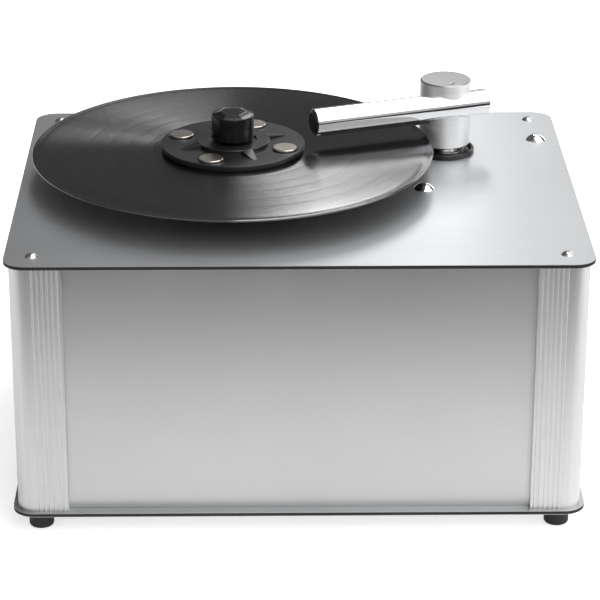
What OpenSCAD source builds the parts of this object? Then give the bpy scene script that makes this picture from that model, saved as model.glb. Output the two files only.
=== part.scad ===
// Vacuum record cleaning machine on a square aluminium chassis
// Millimetres, +Z up, front towards -Y, origin on the floor under the middle of the plates

/* [Chassis] */
// Width of the top and bottom plates
plate_w = 415; // [405:1:440]
// Depth of the top and bottom plates
plate_d = 332; // [326:1:352]
// Thickness of the top and bottom plates
plate_t = 3; // [2:0.5:5]
// Corner radius of the plates
plate_r = 16; // [12:0.5:20]
// Height of the corner posts between the plates
post_h = 189; // [185:1:220]
// How far the plates stand out past the corner posts
post_inset = 3.4; // [1:0.1:5]
// Length of each ribbed face of a corner post
post_leg = 37.3; // [35:0.1:42]
// Wall of a corner post
post_wall = 2.2; // [1.6:0.1:3]
// Ribs on each face of a corner post
rib_count = 5; // [1:1:5]
// Distance from one rib to the next
rib_pitch = 3.5; // [2.6:0.1:3.6]
// Width of a rib
rib_w = 1.8; // [1.2:0.1:2.4]
// How far a rib stands out of its face
rib_h = 0.5; // [0.2:0.1:0.7]
// Distance from a post's outer face to its screw boss
boss_in = 16.1; // [14:0.1:18]
// Thickness of the side panels
panel_t = 2; // [1.5:0.1:3]
// Depth of the panels behind the posts' outer faces
panel_set = 5.6; // [4:0.1:7]

/* [Feet and screws] */
// Diameter of a rubber foot
foot_d = 18; // [14:0.5:24]
// Height of a rubber foot
foot_h = 15; // [12:0.5:22]
// Thread diameter of the corner screws
screw_d = 5; // [4:0.5:6]
// Length of the corner screws below the top plate
screw_l = 16; // [10:1:20]
// Head diameter of the corner screws
screw_head_d = 9.5; // [8:0.5:11]
// Head diameter of the domed tank bolts
dome_d = 16.5; // [13:0.5:18]
// Height of a domed bolt head
dome_h = 4.4; // [3:0.2:6]
// Thread diameter of the tank bolts
bolt_d = 6; // [5:0.5:7]

/* [Record and platter] */
// Diameter of the record
record_d = 301.6; // [296:0.2:303]
// Thickness of the record at its label and rim
record_t = 2; // [1.6:0.1:2.6]
// Thickness of the record in its grooves
groove_t = 1.3; // [1:0.1:1.5]
// Diameter of the record's label
label_d = 100; // [92:1:102]
// Gap from the record's edge to the left edge of the plate
record_side = 8.7; // [5:0.1:14]
// Gap from the record's edge to the rear edge of the plate
record_rear = 3.2; // [2:0.1:10]
// Height of the record's underside over the top plate
record_lift = 21.5; // [19:0.5:26]
// Diameter of the platter
platter_d = 100; // [90:1:104]
// Thickness of the platter
platter_t = 7; // [5:0.5:9]
// Thickness of the rubber mat
mat_t = 1.5; // [1:0.1:2.5]
// Diameter of the spindle through the record
spindle_d = 7.1; // [6.8:0.1:7.2]

/* [Platter drive] */
// Diameter of the drive shaft
shaft_d = 10; // [8:0.5:11]
// Outer diameter of the ball bearings
bearing_d = 26; // [24:1:28]
// Width of a ball bearing
bearing_w = 8; // [6:0.5:9]
// Wall of the bearing housing
housing_wall = 4; // [3:0.5:5]
// Length of the bearing housing below the top plate
housing_l = 35; // [32:1:40]
// Module of the gears
gear_m = 1; // [0.8:0.05:1.1]
// Teeth of the platter gear
gear_teeth = 72; // [64:1:80]
// Teeth of the motor pinion
pinion_teeth = 18; // [17:1:22]
// Face width of the gears
gear_w = 8; // [6:0.5:10]
// Diameter of the gear motor
gear_motor_d = 37; // [32:0.5:40]
// Length of the gear motor's can
gear_motor_l = 38; // [30:1:44]

/* [Clamp] */
// Diameter of the clamp disc
clamp_d = 108; // [107:0.5:112]
// Thickness of the clamp disc
clamp_t = 3.5; // [3:0.1:4.5]
// Height of the seal's lip under the clamp disc
seal_lip = 1.5; // [1:0.1:2]
// Diameter of the clamp's raised hub
hub_d = 55.7; // [50:0.5:58]
// Height of the hub over the disc
hub_h = 2.9; // [2:0.1:4]
// Diameter of the nickel weights
weight_d = 18.2; // [14:0.2:19]
// Circle on which the nickel weights lie
weight_pcd = 84; // [78:0.5:85]
// Turn of the weights seen from above
weight_turn = -22; // [-45:1:45]
// Diameter of the clamp knob
knob_d = 31.7; // [26:0.1:33]
// Height of the clamp knob
knob_h = 20.4; // [18:0.2:26]
// Number of facets on the knob's shoulder
knob_facets = 6; // [5:1:8]

/* [Suction arm] */
// Direction from the platter to the arm tower, seen from above
arm_turn = 20; // [14:1:26]
// Diameter of the arm tower
tower_d = 39; // [36:0.5:41]
// Height of the tower's top over the top plate
tower_top = 59; // [57:0.5:66]
// Height of the tower's foot over the top plate
tower_foot = 7.7; // [7.5:0.1:9]
// Gap from the record's edge to the tower
tower_gap = 3.7; // [3:0.1:8]
// Diameter of the suction tube
tube_d = 20; // [18:0.5:22]
// Wall of the suction tube
tube_wall = 1.2; // [0.8:0.1:1.6]
// Height of the tube's axis over the record
tube_over = 17.6; // [17:0.1:19]
// Distance from the tower's axis forward to the tube's axis
tube_off = 12; // [10.5:0.1:13]
// Gap from the clamp disc to the tube's end as it swings past
tip_gap = 4.8; // [4:0.1:8]
// Length of the tube behind the tower's axis
tube_tail = 28; // [24:0.5:36]
// Thickness of the velvet strips
velvet_t = 2; // [1.5:0.1:2.2]
// Width of one velvet strip
velvet_w = 4.5; // [3:0.1:5]
// Width of the suction slot
slot_w = 2.4; // [1.6:0.1:3]
// Diameter of the down pipe
pipe_d = 20; // [18:0.5:21]
// Outer diameter of the black collar
collar_d = 46.4; // [44:0.2:50]
// Height of the black collar
collar_h = 4; // [3.8:0.1:5]

/* [Waste tank] */
// Distance from the arm's axis to the tank's left edge
tank_left = 26.5; // [24:0.5:32]
// Height of the tank
tank_h = 108; // [90:1:115]
// Wall of the tank
tank_wall = 3; // [2:0.5:4]
// Distance from the arm's axis to the tank's rear edge
tank_rear = 32.9; // [30:0.5:38]
// Thickness of the tank's lid
lid_t = 4; // [3:0.5:5]
// Outer diameter of the suction hose
hose_d = 32; // [28:1:34]
// Bend radius of the suction hose
hose_r = 38; // [34:1:44]

/* [Vacuum unit] */
// Gap from the left panel to the fan housing
fan_side = 74.5; // [30:0.5:90]
// Straight length of the hose in front of the tank
hose_run_l = 18.4; // [6:0.1:24]
// Gap from the front panel to the fan housing
fan_front = 18; // [10:0.5:22]
// Diameter of the fan housing
fan_d = 124; // [110:1:130]
// Height of the fan housing
fan_h = 34; // [30:1:36]
// Diameter of the vacuum motor
vac_d = 84; // [70:1:90]
// Height of the vacuum motor
vac_h = 60; // [50:1:62]
// Blades of the fan wheel
blade_count = 9; // [5:1:12]

/* [Controls and mains] */
// Height of the switches over the floor
switch_z = 160; // [120:1:175]
// Gap from the front left post to the vacuum switch
switch_gap = 12.8; // [8:0.1:20]
// Distance from the vacuum switch to the platter switch
switch_pitch = 35; // [28:1:45]
// Depth of a switch behind its panel
switch_deep = 20; // [17:1:24]
// Height of a switch bezel
bezel_h = 32; // [30:0.5:34]
// Width of a switch bezel
bezel_w = 15; // [14:0.5:17]
// Gap from the rear right post to the mains inlet
inlet_gap = 39; // [20:1:60]
// Height of the mains inlet over the floor
inlet_z = 48; // [40:1:60]
// Height of the level tube's top over the drain
level_l = 92; // [60:1:100]
// Outer diameter of the level tube
level_d = 6.4; // [5.5:0.1:6.6]

/* [Hidden] */

// Clearances
running = 0.05;
loose = 0.15;
easy = 0.3;
touch = 0.1;

// Heights of the plates
floor_z = foot_h + plate_t;
under_z = floor_z + post_h;
deck_z = under_z + plate_t;

// Corner posts and panels
post_x = plate_w / 2 - post_inset;
post_y = plate_d / 2 - post_inset;
post_r = max(plate_r - post_inset, 2);
rib_start = post_leg - rib_w / 2 - 3.5 - rib_count * rib_pitch + 1.5;
jaw_depth = 6;
jaw_t = 1.6;
panel_x = post_x - panel_set;
panel_y = post_y - panel_set;
panel_h = post_h - 2 * touch;
corner_x = post_x - boss_in;
corner_y = post_y - boss_in;

// Platter axis
record_r = record_d / 2;
platter_x = -plate_w / 2 + record_side + record_r;
platter_y = plate_d / 2 - record_rear - record_r;
record_z = deck_z + record_lift;
record_top = record_z + record_t;
hub_gap = 0.8;

// Bearing housing under and over the top plate
housing_d = bearing_d + 2 * running + 2 * housing_wall;
housing_bottom = under_z - housing_l;
housing_flange_d = housing_d + 18;
housing_flange_t = 3;
upper_bearing_z = deck_z + housing_flange_t - bearing_w - 1;
lower_bearing_z = housing_bottom + 2.5;
bracket_t = 3;
ring_nut_h = 8;
ring_nut_d = housing_d + 14;

// Gears
gear_r = gear_m * gear_teeth / 2;
pinion_r = gear_m * pinion_teeth / 2;
gear_play = 0.1;
centre_gap = gear_r + pinion_r + gear_play;
gear_z = housing_bottom - 4 - gear_w;
pinion_y = platter_y + centre_gap;
pressure = 20;
gear_hub_d = shaft_d + 10;

// Motor plate and posts
motor_plate_top = gear_z - 5;
motor_shaft_d = 6;
motor_boss_d = 12;
motor_offset = 7;
motor_y = pinion_y + motor_offset;
gearbox_l = 22;
post_d = 8;
post_out = 28;
post_front_y = pinion_y - 5;
post_back_y = pinion_y + post_out;
bracket_w = 2 * post_out + 12;

// Shaft steps
collar_on_shaft_d = shaft_d + 5;
shaft_shoulder_z = upper_bearing_z + bearing_w + 0.3;
platter_top = record_z - mat_t;
platter_seat_z = shaft_shoulder_z + 2;
thread_d = spindle_d - 1.1;

// Clamp heights
seal_z = record_top + touch;
disc_z = seal_z + seal_lip;
disc_top = disc_z + clamp_t;
hub_top = disc_top + hub_h;
hub_floor = hub_top - 1.5;
seal_mid_r = clamp_d / 2 - 6.5;
seal_w = 8;
seal_groove = 1.2;
pocket_depth = 0.7;
pocket_d = weight_d + 2.2;
weight_h = 2.5;
knob_z = hub_top + 1;
knob_top = knob_z + knob_h;
knob_flat_d = knob_d * 0.52;
knob_fall = 1.9;
knob_turn = -82;
insert_af = 12;
insert_l = 14;
spindle_top = knob_z + insert_l + 1;

// Arm axis and heights
arm_reach = record_r + tower_gap + tower_d / 2;
arm_x = platter_x + arm_reach * cos(arm_turn);
arm_y = platter_y + arm_reach * sin(arm_turn);
tube_z = record_top + tube_over;
tip_reach = arm_reach - clamp_d / 2 - tip_gap;
tube_front = sqrt(pow(tip_reach, 2) - pow(tube_off + tube_d / 2, 2));
tower_z0 = deck_z + tower_foot;
tower_z1 = deck_z + tower_top;
bush_flange_t = 1;
collar_floor = 1.2;
bush_top = deck_z + collar_floor + bush_flange_t;
bush_d = pipe_d + 6;
washer_z = bush_top + 0.2;
washer_t = 1;
spring_wire = 1.8;
spring_r = pipe_d / 2 + 3.5;
spring_bore_d = 2 * spring_r + spring_wire + 3;
spring_z0 = washer_z + washer_t + touch;
spring_top = tower_z0 + 12;
spring_turns = 4.5;
pipe_top = tube_z - tube_d / 2 - 1.6;
pipe_wall = 2;
velvet_start = 3;
velvet_l = record_r - clamp_d / 2 - tip_gap - 4;
bead_r = 1.5;

// Fan's axis from the front left corner inwards
fan_x = round(-panel_x + panel_t + fan_side + fan_d / 2);
fan_y = round(-panel_y + panel_t + fan_front + fan_d / 2);

// Tank, its front set by the straight end of the hose
tank_x1 = panel_x - panel_t - 0.5;
tank_x0 = arm_x - tank_left;
tank_w = tank_x1 - tank_x0;
tank_y1 = arm_y + tank_rear;
hose_start = fan_y + hose_r + hose_run_l;
tank_y0 = hose_start + 1;
tank_d = tank_y1 - tank_y0;
tank_r = 8;
bolt_in = 6.1;
lug_r = 9.5;
gasket_t = 2;
lid_z = under_z - lid_t;
gasket_z = lid_z - gasket_t;
rim_t = 3;
rim_z = gasket_z - rim_t;
tank_z = rim_z - tank_h;
bolt_near = [tank_x0 + bolt_in, tank_y0 + bolt_in];
bolt_far = [tank_x1 - bolt_in, tank_y1 - bolt_in];
nut_af = bolt_d * 5 / 3;
nut_h = bolt_d * 0.8;
outlet_x = round(tank_x0 + 36);
outlet_d = hose_d - 5 - 2 * easy / 2;
outlet_l = 12;
drain_z = tank_z + 8;
drain_y = (tank_y0 + tank_y1) / 2;
drain_d = 8;

// Vacuum unit from the floor up
mount_h = 6;
vac_z = floor_z + mount_h;
fan_z = vac_z + vac_h;
fan_wall = 2.5;
cover_t = 3;
cover_z = fan_z + fan_h;
inlet_spigot_l = 14;
hose_low = cover_z + cover_t + 1;
hose_z = hose_low + inlet_spigot_l + hose_r;
wheel_r = fan_d / 2 - 10;
wheel_z = fan_z + 6;
wheel_h = fan_h - 14;
vac_shaft_d = 8;

// Controls and mains
vacuum_switch_y = -post_y + post_leg + switch_gap + bezel_w / 2;
platter_switch_y = vacuum_switch_y + switch_pitch;
rocker_r = bezel_h / 2 - 3.8;
rocker_w = bezel_w - 4.6;
bezel_t = 1.6;
rocker_pivot_x = -panel_x + 1.6;
pivot_d = 2.4;
rest_tilt = 8;
inlet_w = 27.6;
inlet_lip = 4;
inlet_x = post_x - post_leg - inlet_gap - inlet_lip - inlet_w / 2;
inlet_h = 20;
socket_w = 24;
socket_h = 16.4;
socket_depth = 18;
level_x = panel_x + 1.6 + level_d / 2;
level_top = drain_z + level_l;
elbow_r = level_d / 2 + 0.3;
board_w = 96;
board_d = 56;
board_post_d = 6;
board_lift = 6;
board_x = inlet_x - 50;
board_y = panel_y - panel_t - 50;
vent_x = fan_x;
vent_z = vac_z + 36;
vent_pitch = 8;
vent_w = 3;
vent_h = 40;
vent_count = 10;
clip_h = 8;
elbow_h = 7;
level_bore = 3.2;
level_plate = 2;

$fn = 64;

// Plain shapes used by several pieces

// A flat plate outline with round corners, centred
module round_rect(w, d, r) {
  square([w - 2 * r, d], center = true);
  square([w, d - 2 * r], center = true);
  for (x = [-1, 1]) for (y = [-1, 1])
    translate([x * (w / 2 - r), y * (d / 2 - r)]) circle(r);
}

// A tube standing on z = 0
module tube(d_out, d_in, h) {
  difference() {
    cylinder(d = d_out, h = h);
    translate([0, 0, -1]) cylinder(d = d_in, h = h + 2);
  }
}

// The cap of a ball, flat side down, with the given width and height
module ball_cap(d, h) {
  ball = (d * d / 4 + h * h) / (2 * h);
  intersection() {
    translate([0, 0, h - ball]) sphere(ball);
    translate([0, 0, 0]) cylinder(d = d + 1, h = h + 1);
  }
}

module at_corners() {
  for (x = [-1, 1]) for (y = [-1, 1])
    translate([x * corner_x, y * corner_y, 0]) children();
}

module at_platter(z = 0) {
  translate([platter_x, platter_y, z]) children();
}

module at_arm(z = 0) {
  translate([arm_x, arm_y, z]) rotate(arm_turn) children();
}

module at_bolts() {
  for (p = [bolt_near, bolt_far]) translate([p[0], p[1], 0]) children();
}

// Involute gear outline, with the flank angle found from the radius

function involute(a) = tan(a) * 180 / PI - a;
function half_tooth(r, teeth, base, thin) =
  90 / teeth - thin + involute(pressure) - involute(acos(min(1, base / r)));
function flank(teeth, base, radii, thin, side, turn) =
  [for (r = radii) let (a = turn + side * half_tooth(max(r, base), teeth, base, thin))
    [r * cos(a), r * sin(a)]];

module gear_outline(teeth) {
  pitch = gear_m * teeth / 2;
  base = pitch * cos(pressure);
  root = pitch - 1.2 * gear_m;
  tip = pitch + 0.95 * gear_m;
  thin = 0.06 / pitch * 180 / PI;
  low = max(base, root + 0.05);
  up = [root, low, low + (tip - low) * 0.33, low + (tip - low) * 0.67, tip];
  down = [for (i = [len(up) - 1:-1:0]) up[i]];
  polygon([for (i = [0:teeth - 1]) each concat(
    flank(teeth, base, up, thin, -1, i * 360 / teeth),
    flank(teeth, base, down, thin, 1, i * 360 / teeth))]);
}

// Chassis

module plate(z) {
  translate([0, 0, z]) linear_extrude(plate_t) round_rect(plate_w, plate_d, plate_r);
}

module top_plate() {
  color("silver") difference() {
    plate(under_z);
    at_corners() translate([0, 0, under_z - 1]) cylinder(d = screw_d + 2 * loose, h = plate_t + 2);
    at_platter(under_z - 1) cylinder(d = housing_d + 2 * loose, h = plate_t + 2);
    at_arm(under_z - 1) cylinder(d = bush_d + 2 * loose, h = plate_t + 2);
    at_bolts() translate([0, 0, under_z - 1]) cylinder(d = bolt_d + 2 * loose, h = plate_t + 2);
  }
}

module bottom_plate() {
  color("silver") difference() {
    plate(foot_h);
    at_corners() translate([0, 0, foot_h - 1]) cylinder(d = screw_d + 2 * loose, h = plate_t + 2);
  }
}

// Cross-section of a post, outer corner at the origin, legs along +X and +Y
module post_block(leg, r) {
  translate([r, r]) circle(r);
  translate([r, 0]) square([leg - r, leg]);
  translate([0, r]) square([leg, leg - r]);
}

// One leg's panel groove, its jaws and its ribs, along +X
module leg_parts() {
  jaw_y0 = panel_set - loose;
  jaw_y1 = panel_set + panel_t + loose;
  rib_in = rib_h - rib_w / 2;
  translate([post_leg - jaw_depth - jaw_t, post_wall - 0.5])
    square([jaw_t, jaw_y1 + jaw_t - post_wall + 0.5]);
  translate([post_leg - jaw_depth - 0.5, jaw_y1]) square([jaw_depth + 0.5, jaw_t]);
  translate([post_leg - jaw_t, post_wall - 0.5]) square([jaw_t, jaw_y0 - post_wall + 0.5]);
  translate([post_leg - jaw_depth - 0.5, jaw_y0 - jaw_t]) square([jaw_depth + 0.5, jaw_t]);
  for (i = [0:rib_count]) translate([rib_start + i * rib_pitch, -rib_in]) circle(d = rib_w, $fn = 32);
}

module post_section() {
  difference() {
    union() {
      difference() {
        post_block(post_leg, post_r);
        translate([post_wall, post_wall]) post_block(post_leg, max(post_r - post_wall, 0.5));
      }
      leg_parts();
      mirror([1, -1]) leg_parts();
      translate([boss_in, boss_in]) circle(d = screw_d + 2 * loose + 5);
      translate([post_wall - 0.5, boss_in - 0.8]) square([boss_in - post_wall, 1.6]);
      translate([boss_in - 0.8, post_wall - 0.5]) square([1.6, boss_in - post_wall]);
    }
    translate([boss_in, boss_in]) circle(d = screw_d + 2 * loose);
  }
}

// A post in the corner that the signs of x and y give
module corner_post(x, y) {
  color("lightgray") translate([x * post_x, y * post_y, floor_z])
    mirror([x > 0 ? 1 : 0, 0]) mirror([0, y > 0 ? 1 : 0]) linear_extrude(post_h) post_section();
}

module corner_front_left() { corner_post(-1, -1); }
module corner_front_right() { corner_post(1, -1); }
module corner_rear_left() { corner_post(-1, 1); }
module corner_rear_right() { corner_post(1, 1); }

// A panel seen from its own front, standing on the bottom plate, outer face on y = 0
module panel_sheet(half) {
  w = 2 * (half - post_leg + jaw_depth - easy);
  translate([-w / 2, 0, floor_z + touch]) cube([w, panel_t, panel_h]);
}

module front_panel() {
  color("gray") translate([0, -panel_y, 0]) panel_sheet(post_x);
}

module rear_panel() {
  color("gray") difference() {
    translate([0, panel_y, 0]) rotate(180) panel_sheet(post_x);
    translate([inlet_x - inlet_w / 2 - loose, panel_y - panel_t - 1, inlet_z - inlet_h / 2 - loose])
      cube([inlet_w + 2 * loose, panel_t + 2, inlet_h + 2 * loose]);
    for (i = [0:vent_count - 1])
      translate([vent_x + (i - (vent_count - 1) / 2) * vent_pitch, panel_y - panel_t - 1, vent_z]) {
        translate([-vent_w / 2, 0, -vent_h / 2]) cube([vent_w, panel_t + 2, vent_h]);
        for (z = [-1, 1]) translate([0, 0, z * vent_h / 2]) rotate([-90, 0, 0])
          cylinder(d = vent_w, h = panel_t + 2);
      }
  }
}

module left_panel() {
  color("gray") difference() {
    translate([-panel_x, 0, 0]) rotate(-90) panel_sheet(post_y);
    for (y = [platter_switch_y, vacuum_switch_y])
      translate([-panel_x - 1, y - bezel_w / 2 + 1, switch_z - bezel_h / 2 + 1])
        cube([panel_t + 2, bezel_w - 2, bezel_h - 2]);
  }
}

module right_panel() {
  color("gray") difference() {
    translate([panel_x, 0, 0]) rotate(90) panel_sheet(post_y);
    translate([panel_x - panel_t - 1, drain_y, drain_z]) rotate([0, 90, 0])
      cylinder(d = drain_d + 2 * easy, h = panel_t + 2);
  }
}

// Feet and fasteners

foot_cup_d = screw_head_d + 1;
foot_cup_h = foot_h / 2;
foot_round = 2;

module rubber_foot() {
  rotate_extrude() difference() {
    union() {
      translate([0, foot_round]) square([foot_d / 2, foot_h - foot_round]);
      square([foot_d / 2 - foot_round, foot_h / 2]);
      translate([foot_d / 2 - foot_round, foot_round]) circle(foot_round, $fn = 32);
    }
    translate([0, -1]) square([foot_cup_d / 2, foot_cup_h + 1]);
    translate([0, -1]) square([screw_d / 2 + loose, foot_h + 2]);
    translate([-2 * foot_d, -1]) square([2 * foot_d, foot_h + 2]);
  }
}

module rubber_feet() {
  color("black") at_corners() rubber_foot();
}

foot_screw_l = foot_h - foot_cup_h + plate_t + 14;

module foot_screws() {
  color("silver") at_corners() translate([0, 0, foot_cup_h]) {
    difference() {
      rotate([180, 0, 0]) ball_cap(screw_head_d, screw_head_d * 0.29);
      translate([0, 0, -4]) cylinder(r = screw_d * 0.35, h = 2.6, $fn = 6);
    }
    cylinder(d = screw_d, h = foot_screw_l);
  }
}

module top_screws() {
  color("silver") at_corners() translate([0, 0, deck_z]) {
    difference() {
      ball_cap(screw_head_d, screw_head_d * 0.29);
      translate([0, 0, 1]) cylinder(r = screw_d * 0.35, h = 4, $fn = 6);
    }
    translate([0, 0, -plate_t - screw_l]) cylinder(d = screw_d, h = plate_t + screw_l);
  }
}

module domed_bolts() {
  color("white") at_bolts() {
    translate([0, 0, deck_z]) ball_cap(dome_d, dome_h);
    translate([0, 0, rim_z - nut_h - 3]) cylinder(d = bolt_d, h = deck_z - rim_z + nut_h + 3);
  }
}

module bolt_nuts() {
  color("silver") at_bolts() translate([0, 0, rim_z - nut_h]) difference() {
    rotate(30) cylinder(d = nut_af / cos(30), h = nut_h, $fn = 6);
    translate([0, 0, -1]) cylinder(d = bolt_d + 2 * running, h = nut_h + 2);
  }
}

// Platter drive

module bearing_housing() {
  top = deck_z + housing_flange_t;
  color("dimgray") at_platter() difference() {
    union() {
      translate([0, 0, housing_bottom]) cylinder(d = housing_d, h = top - housing_bottom);
      translate([0, 0, deck_z]) cylinder(d = housing_flange_d, h = housing_flange_t);
    }
    translate([0, 0, housing_bottom - 1]) cylinder(d = bearing_d - 3, h = top - housing_bottom + 2);
    translate([0, 0, upper_bearing_z]) cylinder(d = bearing_d + 2 * running, h = bearing_w + 3);
    translate([0, 0, housing_bottom - 1])
      cylinder(d = bearing_d + 2 * running, h = lower_bearing_z + bearing_w - housing_bottom + 1);
    for (a = [0:120:240]) rotate(a) translate([(housing_d + housing_flange_d) / 4, 0, deck_z + 1])
      cylinder(d = 3.2, h = housing_flange_t);
  }
}

module bearing_ring() {
  rotate_extrude() difference() {
    translate([shaft_d / 2 + running, 0]) square([(bearing_d - shaft_d) / 2 - running, bearing_w]);
    for (z = [0, bearing_w]) translate([(shaft_d + bearing_d) / 4, z]) square([3, 1.2], center = true);
  }
}

module shaft_bearings() {
  color("lightsteelblue") for (z = [upper_bearing_z, lower_bearing_z]) at_platter(z) bearing_ring();
}

module housing_nut() {
  color("silver") at_platter(under_z - bracket_t - ring_nut_h) difference() {
    cylinder(d = ring_nut_d, h = ring_nut_h);
    translate([0, 0, -1]) cylinder(d = housing_d + 2 * running, h = ring_nut_h + 2);
    for (a = [0:90:270]) rotate(a) translate([ring_nut_d / 2 - 2, -3, -1]) cube([4, 6, ring_nut_h + 2]);
  }
}

module at_posts() {
  for (x = [-1, 1]) for (y = [post_front_y, post_back_y])
    translate([platter_x + x * post_out, y, 0]) children();
}

module motor_bracket() {
  y0 = platter_y - ring_nut_d / 2 - 2;
  color("slategray") difference() {
    translate([platter_x - bracket_w / 2, y0, under_z - bracket_t])
      cube([bracket_w, post_back_y + 8 - y0, bracket_t]);
    at_platter(under_z - bracket_t - 1) cylinder(d = housing_d + 2 * loose, h = bracket_t + 2);
  }
}

module motor_posts() {
  color("silver") at_posts() translate([0, 0, motor_plate_top]) difference() {
    cylinder(d = post_d, h = under_z - bracket_t - motor_plate_top);
    translate([0, 0, -1]) cylinder(d = 4, h = 12);
  }
}

module motor_plate() {
  y0 = post_front_y - 8;
  color("slategray") difference() {
    translate([platter_x - bracket_w / 2, y0, motor_plate_top - bracket_t])
      cube([bracket_w, post_back_y + 8 - y0, bracket_t]);
    translate([platter_x, pinion_y, motor_plate_top - bracket_t - 1])
      cylinder(d = motor_boss_d + 2 * loose, h = bracket_t + 2);
    at_posts() translate([0, 0, motor_plate_top - bracket_t - 1]) cylinder(d = 4.3, h = bracket_t + 2);
  }
}

module gear_motor() {
  top = motor_plate_top - bracket_t;
  color("darkgray") difference() {
    union() {
      translate([platter_x, motor_y, top - gearbox_l]) cylinder(d = gear_motor_d, h = gearbox_l);
      translate([platter_x, motor_y, top - gearbox_l - gear_motor_l])
        cylinder(d = gear_motor_d - 2.6, h = gear_motor_l);
      translate([platter_x, motor_y, top - gearbox_l - gear_motor_l - 3]) cylinder(d = 12, h = 3);
      translate([platter_x, pinion_y, top]) cylinder(d = motor_boss_d, h = 5);
    }
    translate([platter_x, pinion_y, top - 10]) cylinder(d = motor_shaft_d + 2 * running, h = 20);
  }
}

module motor_pinion() {
  color("goldenrod") translate([platter_x, pinion_y, 0]) {
    translate([0, 0, gear_z - 0.5]) linear_extrude(gear_w + 1) rotate(180 / pinion_teeth + 90)
      gear_outline(pinion_teeth);
    translate([0, 0, motor_plate_top - bracket_t - 9])
      cylinder(d = motor_shaft_d, h = gear_z + gear_w + 4 - motor_plate_top + bracket_t + 9);
  }
}

module drive_shaft() {
  low = gear_z - 3;
  color("silver") at_platter() {
    translate([0, 0, low]) cylinder(d = shaft_d, h = platter_top - low);
    translate([0, 0, shaft_shoulder_z]) cylinder(d = collar_on_shaft_d, h = platter_seat_z - shaft_shoulder_z);
    translate([0, 0, platter_top - 1]) cylinder(d = spindle_d, h = disc_z - platter_top);
    translate([0, 0, disc_z - 2]) cylinder(d = thread_d, h = spindle_top - disc_z + 1);
    translate([0, 0, spindle_top - 1]) cylinder(d1 = thread_d, d2 = thread_d - 1.6, h = 1);
  }
}

module drive_gear() {
  color("ivory") at_platter() difference() {
    union() {
      translate([0, 0, gear_z]) linear_extrude(gear_w) rotate(90) gear_outline(gear_teeth);
      translate([0, 0, gear_z - 2]) cylinder(d = gear_hub_d, h = gear_w + 5);
    }
    translate([0, 0, gear_z - 3]) cylinder(d = shaft_d + 2 * running, h = gear_w + 8);
    for (a = [0:60:300]) rotate(a) translate([(gear_hub_d / 2 + gear_r) / 2, 0, gear_z - 1])
      cylinder(d = gear_r - gear_hub_d / 2 - 9, h = gear_w + 2);
  }
}

module platter() {
  color("#303030") at_platter() difference() {
    union() {
      translate([0, 0, platter_top - platter_t]) rotate_extrude() {
        square([platter_d / 2 - 1.5, platter_t]);
        square([platter_d / 2, platter_t - 1.5]);
        translate([platter_d / 2 - 1.5, platter_t - 1.5]) circle(1.5, $fn = 32);
      }
      translate([0, 0, platter_seat_z]) cylinder(d = 30, h = platter_top - platter_seat_z - 1);
    }
    translate([0, 0, platter_seat_z - 1]) cylinder(d = shaft_d + 2 * running, h = platter_top);
    translate([0, 0, platter_top - platter_t - 1]) tube(platter_d - 12, 40, platter_t - 2);
  }
}

module platter_mat() {
  color("black") at_platter(platter_top) tube(platter_d - 4, 36, mat_t);
}

// The record is thick at its label and at the bead round its rim
module record() {
  slope = 1.5;
  mid = record_t / 2;
  color("#202020") at_platter(record_z) rotate_extrude($fn = 180) difference() {
    union() {
      square([label_d / 2, record_t]);
      polygon([[0, mid - groove_t / 2], [0, mid + groove_t / 2], [record_r - 1, mid + groove_t / 2],
        [record_r - 1, mid - groove_t / 2]]);
      polygon([[label_d / 2 - 0.1, 0], [label_d / 2 - 0.1, record_t], [label_d / 2 + slope, mid]]);
      translate([record_r - mid, mid]) circle(mid, $fn = 32);
      translate([record_r - mid - 1.2, mid - 0.85 * mid]) square([1.2, 1.7 * mid]);
    }
    translate([-1, -1]) square([1 + spindle_d / 2 + running, record_t + 2]);
  }
}

// Clamp

// A tapered rib that runs down from the hub to the disc
module clamp_gusset() {
  near = hub_d / 2 - 1;
  far = weight_pcd / 2 + 1;
  intersection() {
    rotate([90, 0, 0]) translate([0, 0, -6]) linear_extrude(12)
      polygon([[near, disc_top - 0.5], [near, hub_top - 0.3], [hub_d / 2, hub_top - 0.3],
        [far, disc_top + 0.1], [far, disc_top - 0.5]]);
    translate([0, 0, disc_top - 1]) linear_extrude(hub_h + 2)
      polygon([[near, -4.5], [far, -1.6], [far, 1.6], [near, 4.5]]);
  }
}

module clamp_disc() {
  r = clamp_d / 2;
  edge = 0.6;
  color("#2a2a2a") at_platter() difference() {
    union() {
      rotate_extrude($fn = 128)
        polygon([[0, disc_z], [r - edge, disc_z], [r, disc_z + edge], [r, disc_top - edge],
          [r - edge, disc_top], [hub_d / 2, disc_top], [hub_d / 2, hub_top - 0.5],
          [hub_d / 2 - 0.5, hub_top], [0, hub_top]]);
      for (a = [45:90:315]) rotate(a + weight_turn) clamp_gusset();
    }
    translate([0, 0, disc_z - 1]) cylinder(d = spindle_d + 2 * loose, h = hub_top - disc_z + 2);
    translate([0, 0, hub_floor]) cylinder(d = knob_d + 4.3, h = 5);
    translate([0, 0, disc_z - 1]) tube(2 * seal_mid_r + seal_w + 2 * touch, 2 * seal_mid_r - seal_w - 2 * touch,
      1 + seal_groove);
    for (a = [0:90:270]) rotate(a + weight_turn) translate([weight_pcd / 2, 0, disc_top - pocket_depth])
      cylinder(d = pocket_d, h = 3);
  }
}

module clamp_seal() {
  color("black") at_platter(seal_z)
    tube(2 * seal_mid_r + seal_w, 2 * seal_mid_r - seal_w, disc_z - seal_z + seal_groove - touch);
}

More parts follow.
